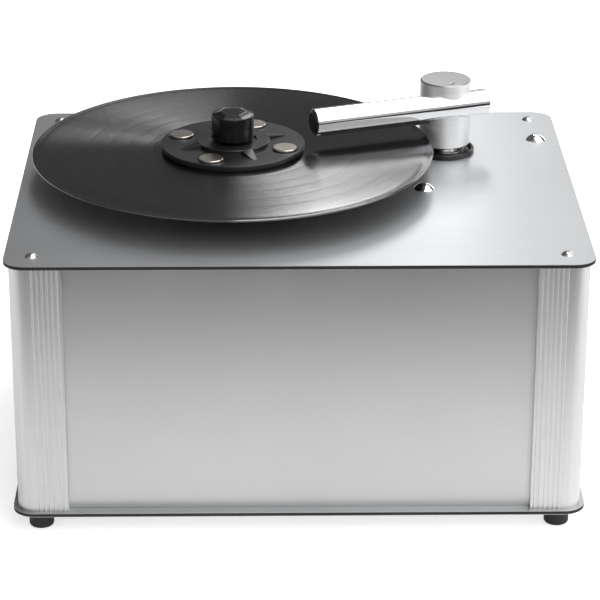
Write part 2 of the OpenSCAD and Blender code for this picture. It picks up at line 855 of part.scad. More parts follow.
module clamp_weights() {
  color("tan") at_platter(disc_top - pocket_depth) for (a = [0:90:270]) rotate(a + weight_turn)
    translate([weight_pcd / 2, 0, 0]) rotate_extrude()
      polygon([[0, 0], [weight_d / 2, 0], [weight_d / 2, weight_h - 0.4], [weight_d / 2 - 0.4, weight_h],
        [0, weight_h]]);
}

module clamp_knob() {
  r = knob_d / 2;
  flat = knob_flat_d / 2;
  slope = atan(knob_fall / (r - flat));
  color("#181818") at_platter() difference() {
    union() {
      translate([0, 0, knob_z + 0.6]) cylinder(r = r, h = knob_h - 0.6);
      translate([0, 0, knob_z]) cylinder(r1 = r - 0.6, r2 = r, h = 0.6);
      translate([0, 0, hub_floor + easy]) cylinder(d = insert_af + 6, h = knob_z - hub_floor + 1);
    }
    for (i = [0:knob_facets - 1]) rotate(knob_turn + i * 360 / knob_facets)
      translate([flat, -knob_d, knob_top]) rotate([0, slope, 0]) cube([knob_d, 2 * knob_d, 10]);
    translate([0, 0, hub_floor]) cylinder(r = insert_af / 2 / cos(30) + touch, h = knob_z + insert_l - hub_floor,
      $fn = 6);
    translate([0, 0, knob_z]) cylinder(d = thread_d + 1, h = insert_l + 3);
  }
}

module knob_insert() {
  color("gold") at_platter(hub_floor + 2 * easy) difference() {
    cylinder(r = insert_af / 2 / cos(30), h = knob_z + insert_l - hub_floor - 2 * easy - touch, $fn = 6);
    translate([0, 0, -1]) cylinder(d = thread_d + 2 * running, h = insert_l + 8);
  }
}

// Suction arm, built with the tube along X and its tail towards +X

module along_tube(x) {
  translate([x, -tube_off, tube_z]) rotate([0, 90, 0]) children();
}

// The tower, with a notch open to the front that holds the tube
module arm_tower() {
  edge = 0.8;
  color("lightgray") at_arm() difference() {
    rotate_extrude($fn = 96)
      polygon([[0, tower_z0], [tower_d / 2 - edge, tower_z0], [tower_d / 2, tower_z0 + edge],
        [tower_d / 2, tower_z1 - edge], [tower_d / 2 - edge, tower_z1], [0, tower_z1]]);
    along_tube(-tower_d) cylinder(d = tube_d + 2 * running, h = 2 * tower_d);
    translate([0, 0, tower_z0 - 1]) cylinder(d = spring_bore_d, h = spring_top - tower_z0 + 1 + touch);
    translate([0, 0, tower_z0]) cylinder(d = pipe_d + 2 * running, h = pipe_top - tower_z0 + touch);
    translate([0, 0, tower_z0]) cylinder(d = pipe_d - 2 * pipe_wall, h = tube_z - tower_z0);
    translate([0, -tube_off, tube_z]) cylinder(d = screw_d + 2 * running, h = tower_top);
  }
}

// The tube, slotted along its underside and open over the down pipe
module arm_tube() {
  color("white") at_arm() difference() {
    along_tube(-tube_front) cylinder(d = tube_d, h = tube_front + tube_tail);
    along_tube(-tube_front - 1) cylinder(d = tube_d - 2 * tube_wall, h = tube_front + tube_tail + 2);
    translate([0, 0, tube_z - tube_d]) cylinder(d = pipe_d - 2 * pipe_wall, h = tube_d);
    translate([-tube_front + velvet_start, -tube_off - slot_w / 2, tube_z - tube_d])
      cube([velvet_l, slot_w, tube_d]);
  }
}

// An end plug with a round edge, pushed into the tube, its outside towards +X
module tube_plug(out) {
  inner = tube_d / 2 - tube_wall - running;
  rotate_extrude() {
    translate([0, -6]) square([inner, 6]);
    square([inner - out, out]);
    intersection() {
      translate([inner - out, 0]) circle(out, $fn = 32);
      square([inner, out]);
    }
  }
}

module tip_plug() {
  color("#151515") at_arm() mirror([1, 0]) along_tube(tube_front) tube_plug(bead_r);
}

module tail_plug() {
  color("#151515") at_arm() along_tube(tube_tail) tube_plug(bead_r);
}

// Two strips that follow the tube's curve on both sides of the slot
module velvet_strips() {
  inner = tube_d / 2 + running;
  color("#101010") at_arm() for (side = [-1, 1]) intersection() {
    along_tube(-tube_front + velvet_start) tube(2 * (inner + velvet_t), 2 * inner, velvet_l);
    translate([-tube_front, side * (slot_w + velvet_w) / 2 - velvet_w / 2 - tube_off, tube_z - tube_d])
      cube([velvet_l + 20, velvet_w, tube_d]);
  }
}

pipe_low = rim_z - 18;

module down_pipe() {
  color("silver") at_arm(pipe_low) tube(pipe_d, pipe_d - 2 * pipe_wall, pipe_top - pipe_low);
}

module grub_screw() {
  low = tube_z + tube_d / 2 + touch;
  color("dimgray") at_arm() translate([0, -tube_off]) difference() {
    translate([0, 0, low]) cylinder(d = screw_d, h = tower_z1 - 0.6 - low);
    translate([0, 0, tower_z1 - 3.6]) cylinder(r = screw_d * 0.3, h = 5, $fn = 6);
  }
}

module arm_collar() {
  inner = tower_d / 2 + 1;
  outer = collar_d / 2;
  color("#151515") at_arm(deck_z) rotate_extrude()
    polygon([[bush_d / 2 + loose, 0], [outer, 0], [outer, collar_h - 0.5], [outer - 0.5, collar_h],
      [inner + 0.7, collar_h], [inner, collar_h - 0.7], [inner, collar_floor], [bush_d / 2 + loose, collar_floor]]);
}

module arm_bushing() {
  low = rim_z - 3;
  color("ivory") at_arm() difference() {
    union() {
      translate([0, 0, low]) cylinder(d = bush_d, h = bush_top - low);
      translate([0, 0, bush_top - bush_flange_t]) cylinder(d = tower_d - 1, h = bush_flange_t);
    }
    translate([0, 0, low - 1]) cylinder(d = pipe_d + 3 * running, h = bush_top - low + 2);
  }
}

module swivel_washer() {
  color("silver") at_arm(washer_z) tube(2 * spring_r + spring_wire + 2, pipe_d + 3 * running, washer_t);
}

// Coil spring, swept as rings round a helix
module return_spring() {
  sides = 8;
  steps = 20;
  low = spring_z0 + spring_wire / 2;
  rise = spring_top - touch - spring_z0 - spring_wire;
  n = steps * spring_turns;
  points = [for (i = [0:n]) for (k = [0:sides - 1])
    let (a = i * 360 / steps, b = k * 360 / sides, r = spring_r + spring_wire / 2 * cos(b))
      [r * cos(a), r * sin(a), low + rise * i / n + spring_wire / 2 * sin(b)]];
  skin = [for (i = [0:n - 1]) for (k = [0:sides - 1]) let (j = (k + 1) % sides)
    [i * sides + k, i * sides + j, (i + 1) * sides + j, (i + 1) * sides + k]];
  ends = [[for (k = [sides - 1:-1:0]) k], [for (k = [0:sides - 1]) n * sides + k]];
  color("silver") at_arm() polyhedron(points, concat(skin, ends));
}

// Waste tank under the arm

module tank_rect(grow) {
  translate([(tank_x0 + tank_x1) / 2, (tank_y0 + tank_y1) / 2])
    round_rect(tank_w + 2 * grow, tank_d + 2 * grow, tank_r + grow);
}

// Tank outline, drawn in by a wall, with two corners cut away for the bolts
module tank_outline(wall) {
  difference() {
    tank_rect(-wall);
    for (p = [bolt_near, bolt_far]) translate(p) circle(lug_r + wall);
  }
}

module rim_outline() {
  difference() {
    tank_rect(0);
    for (p = [bolt_near, bolt_far]) translate(p) circle(d = bolt_d + 2 * loose);
  }
}

module waste_tank() {
  color("#d8dcd8", 0.6) difference() {
    union() {
      translate([0, 0, tank_z]) linear_extrude(rim_z - tank_z) tank_outline(0.5);
      translate([0, 0, rim_z]) linear_extrude(rim_t) rim_outline();
      translate([outlet_x, tank_y0 + 1, hose_z]) rotate([90, 0, 0]) cylinder(d = outlet_d, h = outlet_l);
      translate([tank_x1 - 2, drain_y, drain_z]) rotate([0, 90, 0])
        cylinder(d = drain_d, h = panel_x + 0.7 - tank_x1 + 2);
    }
    translate([0, 0, tank_z + tank_wall]) linear_extrude(tank_h + rim_t) tank_outline(0.5 + tank_wall);
    translate([outlet_x, tank_y0 + 10, hose_z]) rotate([90, 0, 0]) cylinder(d = outlet_d - 4, h = 30);
    translate([tank_x1 - 10, drain_y, drain_z]) rotate([0, 90, 0]) cylinder(d = drain_d - 3, h = 30);
  }
}

module tank_gasket() {
  color("black") translate([0, 0, gasket_z]) linear_extrude(gasket_t) difference() {
    rim_outline();
    tank_outline(0.5 + tank_wall + 3);
  }
}

module tank_lid() {
  color("#c8ccc8") translate([0, 0, lid_z]) linear_extrude(lid_t) difference() {
    rim_outline();
    translate([arm_x, arm_y]) circle(d = bush_d + 2 * loose);
  }
}

// Hose from the tank's front wall to the fan, straight runs joined by two quarter bends
module hose_run(l) {
  difference() {
    cylinder(d = hose_d, h = l);
    translate([0, 0, -1]) cylinder(d = hose_d - 5, h = l + 2);
  }
}

module hose_bend() {
  rotate_extrude(angle = 90) translate([hose_r, 0]) difference() {
    circle(d = hose_d);
    circle(d = hose_d - 5);
  }
}

module suction_hose() {
  color("#333333") {
    translate([outlet_x, hose_start, hose_z]) rotate([90, 0, 0]) hose_run(hose_run_l);
    translate([outlet_x - hose_r, fan_y + hose_r, hose_z]) rotate(-90) hose_bend();
    translate([fan_x + hose_r, fan_y, hose_z]) rotate([0, 90, 0]) hose_run(outlet_x - fan_x - 2 * hose_r);
    translate([fan_x + hose_r, fan_y, hose_z - hose_r]) rotate([90, 0, 0]) rotate(90) hose_bend();
    translate([fan_x, fan_y, hose_low]) hose_run(hose_z - hose_r - hose_low);
  }
}

// Vacuum unit

module at_fan(z = 0) {
  translate([fan_x, fan_y, z]) children();
}

module motor_mount() {
  color("black") at_fan(floor_z) difference() {
    tube(vac_d + 6, vac_d - 24, mount_h + 2);
    translate([0, 0, mount_h]) cylinder(d = vac_d + 2 * touch, h = 3);
  }
}

module vacuum_motor() {
  color("darkgray") at_fan(vac_z) difference() {
    union() {
      cylinder(d = vac_d, h = vac_h);
      for (a = [0, 180]) rotate(a) translate([vac_d / 2 - 4, -7, vac_h * 0.55]) cube([12, 14, 12]);
    }
    translate([0, 0, 10]) tube(vac_d - 8, 30, vac_h * 0.4);
    for (a = [0:30:330]) rotate(a) translate([vac_d / 2 - 8, -4, 14]) cube([12, 8, vac_h * 0.4 - 8]);
    translate([0, 0, vac_h - 30]) cylinder(d = vac_shaft_d + 2 * running, h = 40);
  }
}

module fan_housing() {
  color("silver") at_fan(fan_z) difference() {
    cylinder(d = fan_d, h = fan_h);
    translate([0, 0, fan_wall]) cylinder(d = fan_d - 2 * fan_wall, h = fan_h);
    translate([0, 0, -1]) cylinder(d = vac_shaft_d + 4, h = fan_wall + 2);
    for (a = [0:30:330]) rotate(a) translate([fan_d / 2 - fan_wall - 2, -8, fan_wall + 3]) cube([10, 16, 10]);
  }
}

module fan_cover() {
  color("silver") at_fan(cover_z) difference() {
    union() {
      cylinder(d = fan_d, h = cover_t);
      translate([0, 0, -3]) cylinder(d = fan_d - 2 * fan_wall - 2 * touch, h = 3.5);
      cylinder(d = outlet_d, h = cover_t + inlet_spigot_l);
    }
    translate([0, 0, -4]) cylinder(d = outlet_d - 4, h = cover_t + inlet_spigot_l + 5);
    translate([0, 0, -4]) cylinder(d = fan_d - 2 * fan_wall - 6, h = 4);
  }
}

// Fan wheel with backward-curved blades between a back disc and an eye ring
module fan_wheel() {
  blade_r = wheel_r * 0.55;
  color("gainsboro") at_fan() {
    translate([0, 0, wheel_z]) cylinder(r = wheel_r, h = 2);
    translate([0, 0, wheel_z + wheel_h]) tube(2 * wheel_r, outlet_d, 1.5);
    for (i = [0:blade_count - 1]) rotate(i * 360 / blade_count) translate([wheel_r * 0.6, 0, wheel_z + 1.5])
      intersection() {
        translate([0, -blade_r, 0]) tube(2 * blade_r + 1.6, 2 * blade_r, wheel_h - 1);
        translate([-wheel_r * 0.35, -4, -1]) cube([wheel_r * 0.68, wheel_r, wheel_h + 2]);
      }
    translate([0, 0, fan_z - 20]) cylinder(d = vac_shaft_d, h = wheel_z + 12 - fan_z + 20);
    translate([0, 0, wheel_z]) cylinder(d = vac_shaft_d + 8, h = 8);
  }
}

// Electrics

module power_board() {
  board_z = floor_z + board_lift;
  color("darkgreen") translate([board_x, board_y, 0]) {
    translate([-board_w / 2, -board_d / 2, board_z]) cube([board_w, board_d, 1.6]);
    for (x = [-1, 1]) for (y = [-1, 1])
      translate([x * (board_w / 2 - board_post_d), y * (board_d / 2 - board_post_d), floor_z])
        cylinder(d = board_post_d, h = board_lift + 0.5);
    translate([-board_w * 0.38, -board_d * 0.3, board_z + 1]) cube([board_w * 0.42, board_d * 0.6, 30]);
    for (x = [0.15, 0.28]) translate([x * board_w, board_d * 0.2, board_z + 1]) cylinder(d = 10, h = 20);
    translate([board_w * 0.13, -board_d * 0.36, board_z + 1]) cube([board_w * 0.27, board_d * 0.28, 14]);
  }
}

// Mains socket seen from behind, its mouth towards +Y
module mains_inlet() {
  lip = inlet_lip;
  body_y = socket_depth + 4;
  color("#181818") translate([inlet_x, panel_y, inlet_z]) difference() {
    union() {
      translate([-inlet_w / 2 - lip, 0, -inlet_h / 2 - lip]) cube([inlet_w + 2 * lip, 2, inlet_h + 2 * lip]);
      translate([-inlet_w / 2, 2 - body_y, -inlet_h / 2]) cube([inlet_w, body_y, inlet_h]);
    }
    difference() {
      translate([-socket_w / 2, 2 - socket_depth, -socket_h / 2])
        cube([socket_w, socket_depth + 1, socket_h]);
      translate([-1, 0, 0.4]) translate([0, -socket_depth, 0]) cube([2, socket_depth, 6.3]);
      for (x = [-7, 7]) translate([x - 1, -socket_depth, -6]) cube([2, socket_depth, 6.3]);
      for (x = [-1, 1]) translate([x * socket_w / 2, 4, socket_h / 2]) rotate([90, 45, 0])
        translate([-3, -3, 0]) cube([6, 6, socket_depth + 8]);
    }
  }
}

module at_switch(y) {
  translate([-panel_x, y, switch_z]) children();
}

module switch_body() {
  inner_w = rocker_w + 2 * easy;
  inner_h = 2 * rocker_r + 2 * easy;
  difference() {
    union() {
      translate([-bezel_t, -bezel_w / 2, -bezel_h / 2]) cube([bezel_t, bezel_w, bezel_h]);
      translate([-0.5, -bezel_w / 2 + 1.2, -bezel_h / 2 + 1.2])
        cube([switch_deep + 0.5, bezel_w - 2.4, bezel_h - 2.4]);
    }
    translate([-bezel_t - 1, -inner_w / 2, -inner_h / 2]) cube([bezel_t + switch_deep - 3, inner_w, inner_h]);
    translate([rocker_pivot_x + panel_x, 0, 0]) rotate([90, 0, 0])
      cylinder(d = pivot_d + 2 * running, h = inner_w + 1.4, center = true);
  }
}

module switch_bodies() {
  color("#202020") for (y = [platter_switch_y, vacuum_switch_y]) at_switch(y) switch_body();
}

// A rocker with two stub pins, drawn in side view about its pivot and tilted to its rest
module rocker(tilt) {
  face = 6;
  rotate([90, 0, 0]) rotate(tilt) {
    translate([0, 0, -rocker_w / 2]) linear_extrude(rocker_w) intersection() {
      circle(rocker_r);
      union() {
        polygon([[-face, rocker_r], [-face + 2.4, 0], [-face, -rocker_r], [1, -rocker_r * 0.6],
          [1, rocker_r * 0.6]]);
        circle(3.5);
      }
    }
    cylinder(d = pivot_d, h = rocker_w + 2 * easy + 1, center = true);
  }
}

module platter_rocker() {
  color("#151515") translate([rocker_pivot_x, platter_switch_y, switch_z]) rocker(0);
}

module vacuum_rocker() {
  color("#151515") translate([rocker_pivot_x, vacuum_switch_y, switch_z]) rocker(rest_tilt);
}

// Level tube outside the right panel

module level_fittings() {
  color("#202020") {
    difference() {
      union() {
        translate([panel_x + touch, drain_y, drain_z]) rotate([0, 90, 0])
          cylinder(d = drain_d + 5, h = level_plate);
        translate([panel_x + 1, drain_y, drain_z]) rotate([0, 90, 0])
          cylinder(r = elbow_r, h = level_x - panel_x - 1);
        translate([level_x, drain_y, drain_z - elbow_r]) cylinder(r = elbow_r, h = elbow_r + elbow_h);
      }
      translate([panel_x, drain_y, drain_z]) rotate([0, 90, 0]) cylinder(d = drain_d + 2 * touch, h = 0.9);
      translate([panel_x, drain_y, drain_z]) rotate([0, 90, 0])
        cylinder(d = level_bore, h = level_x - panel_x);
      translate([level_x, drain_y, drain_z]) cylinder(d = level_bore, h = elbow_h + 1);
    }
    difference() {
      translate([panel_x, drain_y - level_d, level_top - clip_h + level_plate])
        cube([level_x - panel_x + elbow_r, 2 * level_d, clip_h]);
      translate([level_x, drain_y, level_top - clip_h]) cylinder(d = level_d + 2 * touch, h = clip_h);
    }
  }
}

module level_tube() {
  color("lightblue", 0.5) translate([level_x, drain_y, drain_z + elbow_h])
    tube(level_d, level_d - 2, level_top - drain_z - elbow_h - touch);
}

top_plate();
bottom_plate();
corner_front_left();
corner_front_right();
corner_rear_left();
corner_rear_right();
front_panel();
rear_panel();
left_panel();
right_panel();
rubber_feet();
foot_screws();
top_screws();
domed_bolts();
bolt_nuts();
bearing_housing();
shaft_bearings();
housing_nut();
motor_bracket();
motor_posts();
motor_plate();
gear_motor();
motor_pinion();
drive_shaft();
drive_gear();
platter();
platter_mat();
record();
clamp_disc();
clamp_seal();
clamp_weights();
clamp_knob();
knob_insert();
arm_tower();
arm_tube();
tip_plug();
tail_plug();
velvet_strips();
down_pipe();
grub_screw();
arm_collar();
arm_bushing();
swivel_washer();
return_spring();
waste_tank();
tank_gasket();
tank_lid();
suction_hose();
vacuum_motor();
motor_mount();
fan_housing();
fan_cover();
fan_wheel();
power_board();
mains_inlet();
switch_bodies();
platter_rocker();
vacuum_rocker();
level_fittings();
level_tube();
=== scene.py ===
import math

import bmesh
import bpy
from bpy.props import FloatProperty, FloatVectorProperty, IntProperty, PointerProperty
from bpy.types import Operator, Panel, PropertyGroup
from mathutils import Matrix, Vector, noise


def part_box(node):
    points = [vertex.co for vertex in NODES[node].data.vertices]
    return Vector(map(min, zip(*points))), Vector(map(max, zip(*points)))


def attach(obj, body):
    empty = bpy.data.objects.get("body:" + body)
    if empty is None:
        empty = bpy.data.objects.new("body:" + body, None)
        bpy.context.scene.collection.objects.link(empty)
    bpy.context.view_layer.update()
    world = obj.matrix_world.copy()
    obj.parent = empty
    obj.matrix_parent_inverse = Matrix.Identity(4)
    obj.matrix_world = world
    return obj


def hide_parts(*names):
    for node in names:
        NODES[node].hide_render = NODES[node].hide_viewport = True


bl_info = {
    "name": "Record Cleaning Machine",
    "version": (1, 0, 0),
    "blender": (4, 5, 0),
    "location": "3D View > Sidebar > Record Cleaner",
    "description": "Finishes a record cleaning machine, piece by piece, and sets its studio",
    "category": "Object",
}

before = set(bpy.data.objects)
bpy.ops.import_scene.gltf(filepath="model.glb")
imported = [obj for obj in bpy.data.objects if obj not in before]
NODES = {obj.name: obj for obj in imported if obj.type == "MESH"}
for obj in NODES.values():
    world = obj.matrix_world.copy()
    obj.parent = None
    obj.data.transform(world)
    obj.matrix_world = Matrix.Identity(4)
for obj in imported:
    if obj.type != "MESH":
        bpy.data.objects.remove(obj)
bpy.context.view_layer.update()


# Places read from the bounds of the parts


def node_centre(name):
    low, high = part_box(name)
    return (low + high) / 2


record_low, record_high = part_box("record")
PLATTER_AXIS = Vector((*node_centre("platter").xy, record_low.z))
ARM_AXIS = Vector((*node_centre("arm_collar").xy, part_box("arm_collar")[0].z))
ARM_ALONG = (ARM_AXIS - PLATTER_AXIS).xy.normalized()
ARM_ANGLE = math.atan2(ARM_ALONG.y, ARM_ALONG.x)
TUBE_Z = sum(corner.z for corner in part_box("arm_tube")) / 2
TUBE_R = (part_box("arm_tube")[1].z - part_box("arm_tube")[0].z) / 2
TUBE_MIDDLE = (node_centre("arm_tube") - ARM_AXIS).xy
TUBE_SIDE = TUBE_MIDDLE.dot(Vector((-ARM_ALONG.y, ARM_ALONG.x)))
TUBE_LENGTH = (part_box("arm_tube")[1].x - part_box("arm_tube")[0].x - 2 * TUBE_R * ARM_ALONG.y) / ARM_ALONG.x
RECORD_R = (record_high.x - record_low.x) / 2


# Shader helpers


class Graph:
    """Adds nodes and links to one shader tree."""

    def __init__(self, tree):
        self.tree = tree
        self.column = 0

    def node(self, kind, **settings):
        made = self.tree.nodes.new(kind)
        made.location = (self.column * 190, -(self.column % 3) * 160)
        self.column += 1
        for key, value in settings.items():
            setattr(made, key, value)
        return made

    def link(self, source, target):
        self.tree.links.new(source, target)

    def feed(self, target, value):
        if isinstance(value, bpy.types.NodeSocket):
            self.link(value, target)
        elif target.type == "RGBA":
            target.default_value = (*value[:3], 1.0)
        else:
            target.default_value = value

    def math(self, operation, first, second=0.0, clamp=False):
        made = self.node("ShaderNodeMath", operation=operation, use_clamp=clamp)
        self.feed(made.inputs[0], first)
        self.feed(made.inputs[1], second)
        return made.outputs[0]

    def vector(self, operation, first, second=None, scale=None):
        made = self.node("ShaderNodeVectorMath", operation=operation)
        self.feed(made.inputs[0], first)
        if second is not None:
            self.feed(made.inputs[1], second)
        if scale is not None:
            self.feed(made.inputs["Scale"], scale)
        return made.outputs["Value" if operation in ("LENGTH", "DOT_PRODUCT") else "Vector"]

    def spread(self, value, low, high, to_low=0.0, to_high=1.0, smooth=False):
        made = self.node("ShaderNodeMapRange", interpolation_type="SMOOTHSTEP" if smooth else "LINEAR")
        for socket, given in zip(made.inputs[:5], (value, low, high, to_low, to_high)):
            self.feed(socket, given)
        return made.outputs[0]

    def blend(self, factor, first, second, kind="MIX"):
        made = self.node("ShaderNodeMix", data_type="RGBA", blend_type=kind)
        self.feed(made.inputs[0], factor)
        self.feed(made.inputs[6], first)
        self.feed(made.inputs[7], second)
        return made.outputs[2]

    def noise(self, vector, scale, detail=2.0, roughness=0.5):
        made = self.node("ShaderNodeTexNoise")
        self.feed(made.inputs["Vector"], vector)
        self.feed(made.inputs["Scale"], scale)
        self.feed(made.inputs["Detail"], detail)
        self.feed(made.inputs["Roughness"], roughness)
        return made.outputs[0]

    def object_place(self):
        return self.node("ShaderNodeTexCoord").outputs["Object"]

    def bump(self, height, strength, distance, normal=None):
        made = self.node("ShaderNodeBump")
        made.inputs["Strength"].default_value = strength
        made.inputs["Distance"].default_value = distance
        self.link(height, made.inputs["Height"])
        if normal is not None:
            self.link(normal, made.inputs["Normal"])
        return made.outputs[0]

    def use(self, group, **values):
        made = self.node("ShaderNodeGroup", node_tree=group)
        for key, value in values.items():
            self.feed(made.inputs[key.replace("_", " ")], value)
        return made


def new_group(name, inputs, outputs):
    """An empty shader node group; inputs are (name, socket type, default)."""
    tree = bpy.data.node_groups.new(name, "ShaderNodeTree")
    for title, kind, default in inputs:
        socket = tree.interface.new_socket(title, in_out="INPUT", socket_type=kind)
        if default is not None:
            socket.default_value = default
    for title, kind in outputs:
        tree.interface.new_socket(title, in_out="OUTPUT", socket_type=kind)
    graph = Graph(tree)
    return tree, graph, graph.node("NodeGroupInput"), graph.node("NodeGroupOutput")


FLOAT, VECTOR, COLOUR = "NodeSocketFloat", "NodeSocketVector", "NodeSocketColor"


def brushed_lines_group():
    """Fine parallel lines: the grain of brushed, drawn or extruded metal."""
    tree, g, given, out = new_group(
        "Brushed Lines",
        [("Place", VECTOR, None), ("Across", VECTOR, (4000.0, 4000.0, 40.0)), ("Unevenness", FLOAT, 0.5)],
        [("Line", FLOAT), ("Cloud", FLOAT)],
    )
    stretched = g.vector("MULTIPLY", given.outputs["Place"], given.outputs["Across"])
    fine = g.noise(stretched, 1.0, 4.0, 0.65)
    wide = g.noise(g.vector("SCALE", stretched, scale=0.13), 1.0, 2.0, 0.5)
    part = g.math("MULTIPLY", g.math("SUBTRACT", wide, 0.5), given.outputs["Unevenness"])
    g.link(g.math("ADD", fine, part), out.inputs["Line"])
    g.link(g.noise(given.outputs["Place"], 14.0, 3.0, 0.5), out.inputs["Cloud"])
    return tree


def fine_grain_group():
    """Small even speckle, with soft clouds for handling marks."""
    tree, g, given, out = new_group(
        "Fine Grain",
        [("Place", VECTOR, None), ("Size", FLOAT, 1800.0), ("Cloud Size", FLOAT, 22.0)],
        [("Grain", FLOAT), ("Cloud", FLOAT)],
    )
    g.link(g.noise(given.outputs["Place"], given.outputs["Size"], 3.0, 0.6), out.inputs["Grain"])
    cloud = g.noise(given.outputs["Place"], given.outputs["Cloud Size"], 4.0, 0.55)
    g.link(g.spread(cloud, 0.3, 0.7), out.inputs["Cloud"])
    return tree


def turned_rings_group():
    """Rings round an upright axis, as a lathe tool or a groove leaves them."""
    tree, g, given, out = new_group(
        "Turned Rings",
        [("Place", VECTOR, None), ("Centre", VECTOR, None), ("Fineness", FLOAT, 3000.0)],
        [("Radius", FLOAT), ("Ring", FLOAT)],
    )
    flat = g.vector(
        "MULTIPLY", g.vector("SUBTRACT", given.outputs["Place"], given.outputs["Centre"]), (1.0, 1.0, 0.0)
    )
    radius = g.vector("LENGTH", flat)
    joined = g.node("ShaderNodeCombineXYZ")
    g.link(g.math("MULTIPLY", radius, given.outputs["Fineness"]), joined.inputs[0])
    g.link(radius, out.inputs["Radius"])
    g.link(g.noise(joined.outputs[0], 1.0, 3.0, 0.7), out.inputs["Ring"])
    return tree


def worn_edge_group():
    """Rounds sharp edges in the normal and finds them for light wear."""
    tree, g, given, out = new_group(
        "Worn Edge",
        [("Place", VECTOR, None), ("Break Up", FLOAT, 900.0)],
        [("Wear", FLOAT), ("Normal", VECTOR)],
    )
    rounded = g.node("ShaderNodeBevel", samples=6)
    rounded.inputs["Radius"].default_value = 0.00035
    flat = g.node("ShaderNodeNewGeometry").outputs["True Normal"]
    sharp = g.spread(g.vector("DOT_PRODUCT", rounded.outputs[0], flat), 0.99, 0.80)
    patchy = g.spread(g.noise(given.outputs["Place"], given.outputs["Break Up"], 3.0, 0.6), 0.42, 0.62)
    g.link(g.math("MULTIPLY", sharp, patchy, clamp=True), out.inputs["Wear"])
    g.link(rounded.outputs[0], out.inputs["Normal"])
    return tree


GROUPS = {}


def group(name):
    makers = {
        "lines": brushed_lines_group,
        "grain": fine_grain_group,
        "rings": turned_rings_group,
        "edge": worn_edge_group,
    }
    if name not in GROUPS:
        GROUPS[name] = makers[name]()
    return GROUPS[name]


def start_material(name):
    """A node material with only a Principled shader and its output."""
    made = bpy.data.materials.new(name)
    made.use_nodes = True
    graph = Graph(made.node_tree)
    shader = made.node_tree.nodes["Principled BSDF"]
    return made, graph, shader


def scaled(colour, factor):
    return tuple(min(1.0, channel * factor) for channel in colour[:3])


def finish_material(
    name,
    colour,
    metallic=0.0,
    roughness=0.4,
    variation=0.08,
    spread_rough=0.08,
    grain=1800.0,
    lines=None,
    depth=0.00002,
    strength=0.3,
    wear=None,
    coat=0.0,
    specular=None,
):
    """A plain finish with its grain or lines, clouds of handling, rounded edges and optional wear."""
    made, g, shader = start_material(name)
    place = g.object_place()
    if lines is None:
        marks = g.use(group("grain"), Place=place, Size=grain)
        height, cloud = marks.outputs["Grain"], marks.outputs["Cloud"]
    else:
        marks = g.use(group("lines"), Place=place, Across=lines)
        height, cloud = marks.outputs["Line"], marks.outputs["Cloud"]
    edge = g.use(group("edge"), Place=place)
    tone = g.blend(
        g.spread(height, 0.35, 0.65), scaled(colour, 1 - variation), scaled(colour, 1 + variation)
    )
    tone = g.blend(g.math("MULTIPLY", cloud, variation), tone, scaled(colour, 0.75))
    if wear is not None:
        tone = g.blend(edge.outputs["Wear"], tone, wear)
    g.link(tone, shader.inputs["Base Color"])
    rough = g.spread(cloud, 0.0, 1.0, roughness - spread_rough / 2, roughness + spread_rough / 2)
    rough = g.math("ADD", rough, g.spread(height, 0.3, 0.7, -spread_rough / 3, spread_rough / 3))
    g.link(rough, shader.inputs["Roughness"])
    g.link(g.bump(height, strength, depth, edge.outputs["Normal"]), shader.inputs["Normal"])
    shader.inputs["Metallic"].default_value = metallic
    shader.inputs["Coat Weight"].default_value = coat
    shader.inputs["Coat Roughness"].default_value = 0.08
    if specular is not None:
        shader.inputs["Specular IOR Level"].default_value = specular
    return made


def dress(name, material):
    """Gives a CAD node its material, smooth where its faces turn gently."""
    node = NODES[name]
    node.data.materials.clear()
    node.data.materials.append(material)
    for face in node.data.polygons:
        face.use_smooth = True
    node.data.set_sharp_from_angle(angle=math.radians(28))


# Mesh helpers


def new_piece(name, mesh, material, body, replaced=(), place=(0, 0, 0), turn=0.0, sharp=30):
    mesh.materials.append(material)
    for face in mesh.polygons:
        face.use_smooth = True
    mesh.set_sharp_from_angle(angle=math.radians(sharp))
    piece = bpy.data.objects.new(name, mesh)
    bpy.context.scene.collection.objects.link(piece)
    piece.location = place
    piece.rotation_euler = (0, 0, turn)
    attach(piece, body)
    if replaced:
        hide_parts(*replaced)
    return piece


def turned_mesh(name, profile, steps, closed=False):
    """Turns a profile of (radius, height) points, in metres, round the Z axis."""
    work = bmesh.new()
    rings = []
    for radius, height in profile:
        if radius < 1e-7:
            rings.append([work.verts.new((0, 0, height))])
            continue
        rings.append(
            [
                work.verts.new((radius * math.cos(a), radius * math.sin(a), height))
                for a in (2 * math.pi * k / steps for k in range(steps))
            ]
        )
    pairs = list(zip(rings, rings[1:]))
    if closed:
        pairs.append((rings[-1], rings[0]))
    for low, high in pairs:
        for k in range(steps):
            j = (k + 1) % steps
            corners = [low[k % len(low)], low[j % len(low)], high[j % len(high)], high[k % len(high)]]
            corners = list(dict.fromkeys(corners))
            if len(corners) > 2:
                work.faces.new(corners)
    bmesh.ops.recalc_face_normals(work, faces=work.faces)
    mesh = bpy.data.meshes.new(name)
    work.to_mesh(mesh)
    work.free()
    return mesh


# Settings that a user would change


class PlateSettings(PropertyGroup):
    skin: FloatVectorProperty(
        name="Skin", description="Colour of the aluminium skins", subtype="COLOR",
        default=(0.46, 0.468, 0.478), min=0, max=1
    )
    core: FloatVectorProperty(
        name="Core", description="Colour of the core at the plates' edges", subtype="COLOR",
        default=(0.012, 0.012, 0.013), min=0, max=1
    )
    skin_depth: FloatProperty(
        name="Skin depth", description="Thickness of each skin", unit="LENGTH", default=0.0004, min=0.0001,
        max=0.001
    )
    roughness: FloatProperty(
        name="Roughness", description="Softness of the skins' reflections", subtype="FACTOR", default=0.44,
        min=0.1, max=0.7
    )


